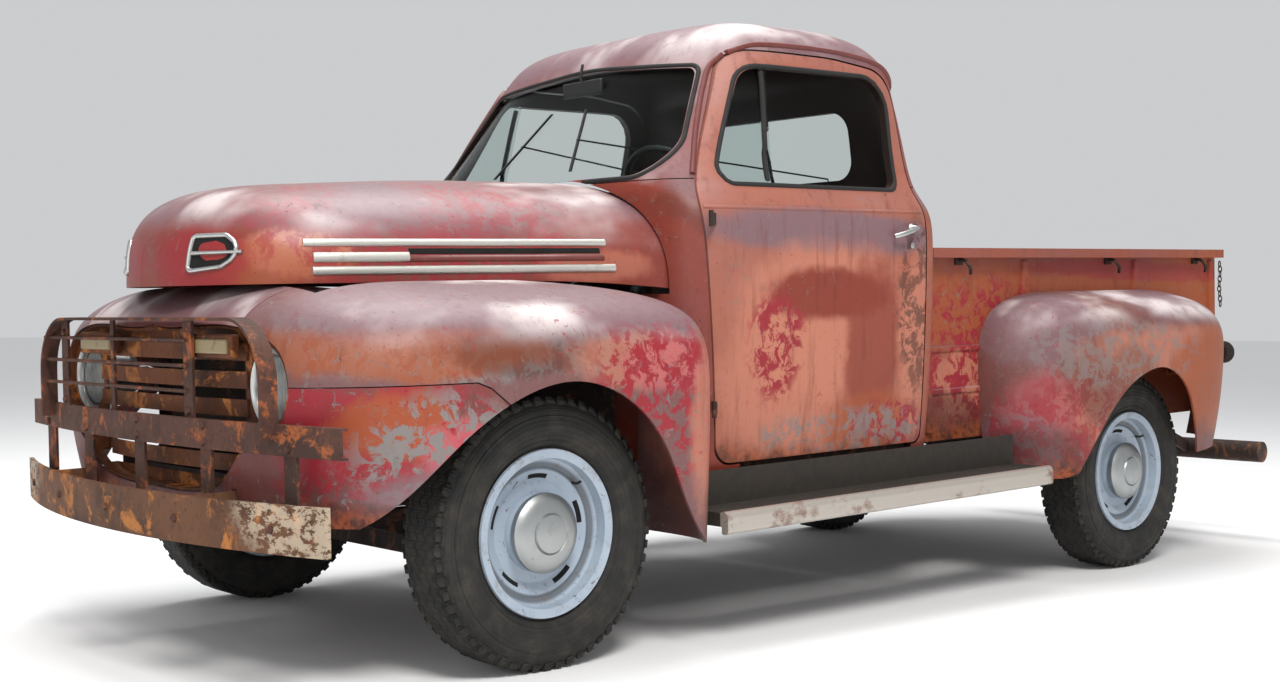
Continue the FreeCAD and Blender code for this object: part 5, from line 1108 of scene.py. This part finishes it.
class MakeInside(bpy.types.Operator):
    """Dials, levers and pedals, and the two stuffed pads of the bench seat"""
    bl_idname = "truck.make_inside"
    bl_label = "Inside of the cab"

    def pad(self, name, outline, half, channel):
        """A stuffed pad from its side outline, with sewn channels across it."""
        shape = Shape()
        flat = rounded_loop(outline, [0.03, 0.03, 0.03, 0.03], 4)
        rings = []
        for k, share in enumerate((-1, -0.985, -0.94, -0.5, 0, 0.5, 0.94, 0.985, 1)):
            middle = sum((Vector(p) for p in outline), Vector((0, 0))) / 4
            shrink = {0: 0.8, 1: 0.93, 7: 0.93, 8: 0.8}.get(k, 1)
            rings.append([on_body(share * half, *(middle + (p - middle) * shrink)) for p in flat])
        shape.rings(rings)
        obj = shape.piece(name, "truck", "seat_leather", "leather")
        remesh = obj.modifiers.new("Even", "REMESH")
        remesh.mode, remesh.voxel_size = "VOXEL", 0.012
        self.settle(obj, remesh)
        cloth = obj.modifiers.new("Stuffing", "CLOTH")
        cloth.settings.use_pressure = True
        cloth.settings.uniform_pressure_force = fittings().pad_pressure
        cloth.settings.effector_weights.gravity = 0
        before = [v.co.copy() for v in obj.data.vertices]
        for number in range(1, 21):
            bpy.context.scene.frame_set(number)
        swollen = obj.evaluated_get(bpy.context.evaluated_depsgraph_get())
        after = [v.co.copy() for v in swollen.data.vertices]
        obj.modifiers.remove(cloth)
        for vertex, old, new in zip(obj.data.vertices, before, after):
            move = new - old
            vertex.co = old + move * min(1, 0.014 / max(move.length, 1e-6))
        bpy.context.scene.frame_set(1)
        smooth = obj.modifiers.new("Fine", "SUBSURF")
        smooth.levels = smooth.render_levels = 1
        self.settle(obj, smooth)
        facing = [vertex.normal.dot(channel) for vertex in obj.data.vertices]
        for vertex, share in zip(obj.data.vertices, facing):
            if share > 0.4:
                groove = abs((vertex.co.x / 0.11) % 1 - 0.5) * 0.11
                vertex.co -= channel * (0.008 * math.exp(-(groove / 0.007) ** 2))
        obj.data.polygons.foreach_set("use_smooth", [True] * len(obj.data.polygons))
        coat("leather", obj)
        return obj

    def settle(self, obj, modifier):
        """Makes a modifier's result the piece's own mesh."""
        result = bpy.data.meshes.new_from_object(obj.evaluated_get(bpy.context.evaluated_depsgraph_get()))
        obj.modifiers.remove(modifier)
        obj.data = result

    def execute(self, context):
        bench = self.pad("seat_cushion", [(1.13, 0.73), (1.69, 0.7), (1.69, 0.85), (1.13, 0.895)], 0.575, UP)
        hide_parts("seat")
        self.pad("seat_back", [(1.655, 0.88), (1.73, 0.88), (1.745, 1.35), (1.685, 1.35)], 0.575, -BACK)
        Shape().block(on_body(0, 1.44, 0.645), Vector((0.54, 0, 0)), BACK * 0.23, UP * 0.052).piece(
            "seat_frame", "truck", "dark_steel", "frame_rust", bevel=0.006)
        dials = Shape()
        rims = Shape()
        for x, radius in ((0.36, 0.05), (0.24, 0.036), (0.48, 0.036)):
            found = laid("dashboard", [on_body(x, 1.1, 1.205)], -BACK)
            for place, normal in found:
                rims.lathe(place, BACK, [(radius, -0.002), (radius, 0.006), (radius * 0.93, 0.008),
                                         (radius * 0.88, 0.003)], 40, True)
                dials.lathe(place, BACK, [(radius * 0.9, -0.001), (radius * 0.9, 0.003), (0, 0.003)], 40)
        rims.piece("dial_rims", "truck", "bright_metal", "chrome")
        dials.piece("dial_faces", "truck", "dark_plastic", "black")
        foot = on_body(0.0, 0.98, 0.585)
        lever = Shape().tube(curve_points([foot, foot + UP * 0.2 + BACK * 0.03, foot + UP * 0.42 + BACK * 0.11], 6),
                             0.008)
        lever.lathe(foot + UP * 0.41 + BACK * 0.108, UP,
                    [(0.01, 0), (0.021, 0.01), (0.023, 0.022), (0.017, 0.036), (0, 0.042)], 24)
        lever.lathe(foot - UP * 0.004, UP, [(0.075, 0), (0.06, 0.012), (0.03, 0.04), (0.012, 0.06)], 28)
        lever.piece("gear_lever", "truck", "dark_plastic", "black")
        pedals = Shape()
        for x in (0.29, 0.42):
            pedals.block(on_body(x, 0.79, 0.72), Vector((0.03, 0, 0)), (UP + BACK * 0.5).normalized() * 0.028,
                         (BACK - UP * 0.5) * 0.005)
            pedals.tube([on_body(x, 0.785, 0.715), on_body(x, 0.73, 0.64)], 0.006)
        pedals.piece("pedals", "truck", "dark_plastic", "black", bevel=0.003)
        return {"FINISHED"}


class SetStage(bpy.types.Operator):
    """Pale floor, soft studio light and the camera"""
    bl_idname = "truck.set_stage"
    bl_label = "Studio"

    def lamp(self, name, place, aim, size, power, colour=(1, 1, 1)):
        light = bpy.data.lights.new(name, "AREA")
        light.shape, light.size, light.energy, light.color = "DISK", size, power, colour
        obj = bpy.data.objects.new(name, light)
        bpy.context.scene.collection.objects.link(obj)
        obj.location = place
        obj.rotation_euler = (Vector(aim) - Vector(place)).to_track_quat("-Z", "Y").to_euler()

    def execute(self, context):
        scene = bpy.context.scene
        mesh = bpy.data.meshes.new("studio_floor")
        mesh.from_pydata([(-80, -80, 0), (80, -80, 0), (80, 80, 0), (-80, 80, 0)], [], [(0, 1, 2, 3)])
        floor = bpy.data.objects.new("studio_floor", mesh)
        scene.collection.objects.link(floor)
        f = Finish("Studio floor", Specular_IOR_Level=0.2)
        f.set("Base Color", f.mix(f.noise(0.6, 3.0, 0.5), (0.86, 0.86, 0.86), (0.88, 0.88, 0.88)))
        f.set("Roughness", 0.85)
        mesh.materials.append(f.material)
        world = scene.world or bpy.data.worlds.new("Studio")
        scene.world = world
        world.use_nodes = True
        world.node_tree.nodes["Background"].inputs["Color"].default_value = (0.97, 0.98, 1.0, 1)
        world.node_tree.nodes["Background"].inputs["Strength"].default_value = 0.62
        self.lamp("Key", (5.5, -4.0, 7.5), (0, -0.4, 0.7), 3.0, 640, (1.0, 0.98, 0.95))
        self.lamp("Overhead", (-1.5, 0.5, 8.0), (0, 0, 1), 6.0, 560)
        self.lamp("Fill", (4.5, -8.5, 2.5), (0, -1.5, 0.8), 4.0, 70)
        camera = bpy.data.cameras.new("Photo camera")
        camera.lens, camera.sensor_width, camera.shift_x, camera.shift_y = 45.34, 36.0, 0.0441, -0.0029
        around, raised, roll = (math.radians(a) for a in (49.7117, 0.5533, 0.1896))
        away = Vector((math.sin(around) * math.cos(raised), -math.cos(around) * math.cos(raised), math.sin(raised)))
        level = (-away).cross(Vector((0, 0, 1))).normalized()
        right = level * math.cos(roll) + level.cross(-away) * math.sin(roll)
        top = right.cross(-away)
        obj = bpy.data.objects.new("Photo camera", camera)
        scene.collection.objects.link(obj)
        place = AXLE + Vector((4.16678, -2.7149, 0.93715))
        obj.matrix_world = Matrix(((right.x, top.x, away.x, place.x), (right.y, top.y, away.y, place.y),
                                   (right.z, top.z, away.z, place.z), (0, 0, 0, 1)))
        scene.camera = obj
        scene.view_settings.view_transform = "Standard"
        return {"FINISHED"}


STEPS = (FinishPanels, MakeTyres, MakeHubCaps, MakeFront, MakeHoodTrim, MakeCabTrim, MakeDoorFittings, MakeLoadBed,
         MakeInside, SetStage)


class TruckPanel(bpy.types.Panel):
    """The truck's settings and steps"""
    bl_idname = "VIEW3D_PT_truck"
    bl_label = "Old Pickup Truck"
    bl_space_type = "VIEW_3D"
    bl_region_type = "UI"
    bl_category = "Truck"

    def draw(self, context):
        for group in (context.scene.truck_paint, context.scene.truck_fittings):
            box = self.layout.box()
            for name in group.bl_rna.properties.keys():
                if name not in ("rna_type", "name"):
                    box.prop(group, name)
        for step in STEPS:
            self.layout.operator(step.bl_idname)


CLASSES = (TruckPaint, TruckFittings) + STEPS + (TruckPanel,)


def register():
    for made in CLASSES:
        bpy.utils.register_class(made)
    bpy.types.Scene.truck_paint = PointerProperty(type=TruckPaint)
    bpy.types.Scene.truck_fittings = PointerProperty(type=TruckFittings)


def unregister():
    del bpy.types.Scene.truck_fittings
    del bpy.types.Scene.truck_paint
    for made in reversed(CLASSES):
        bpy.utils.unregister_class(made)


def main():
    register()
    for step in STEPS:
        group, name = step.bl_idname.split(".")
        getattr(getattr(bpy.ops, group), name)()


if __name__ == "__main__":
    main()
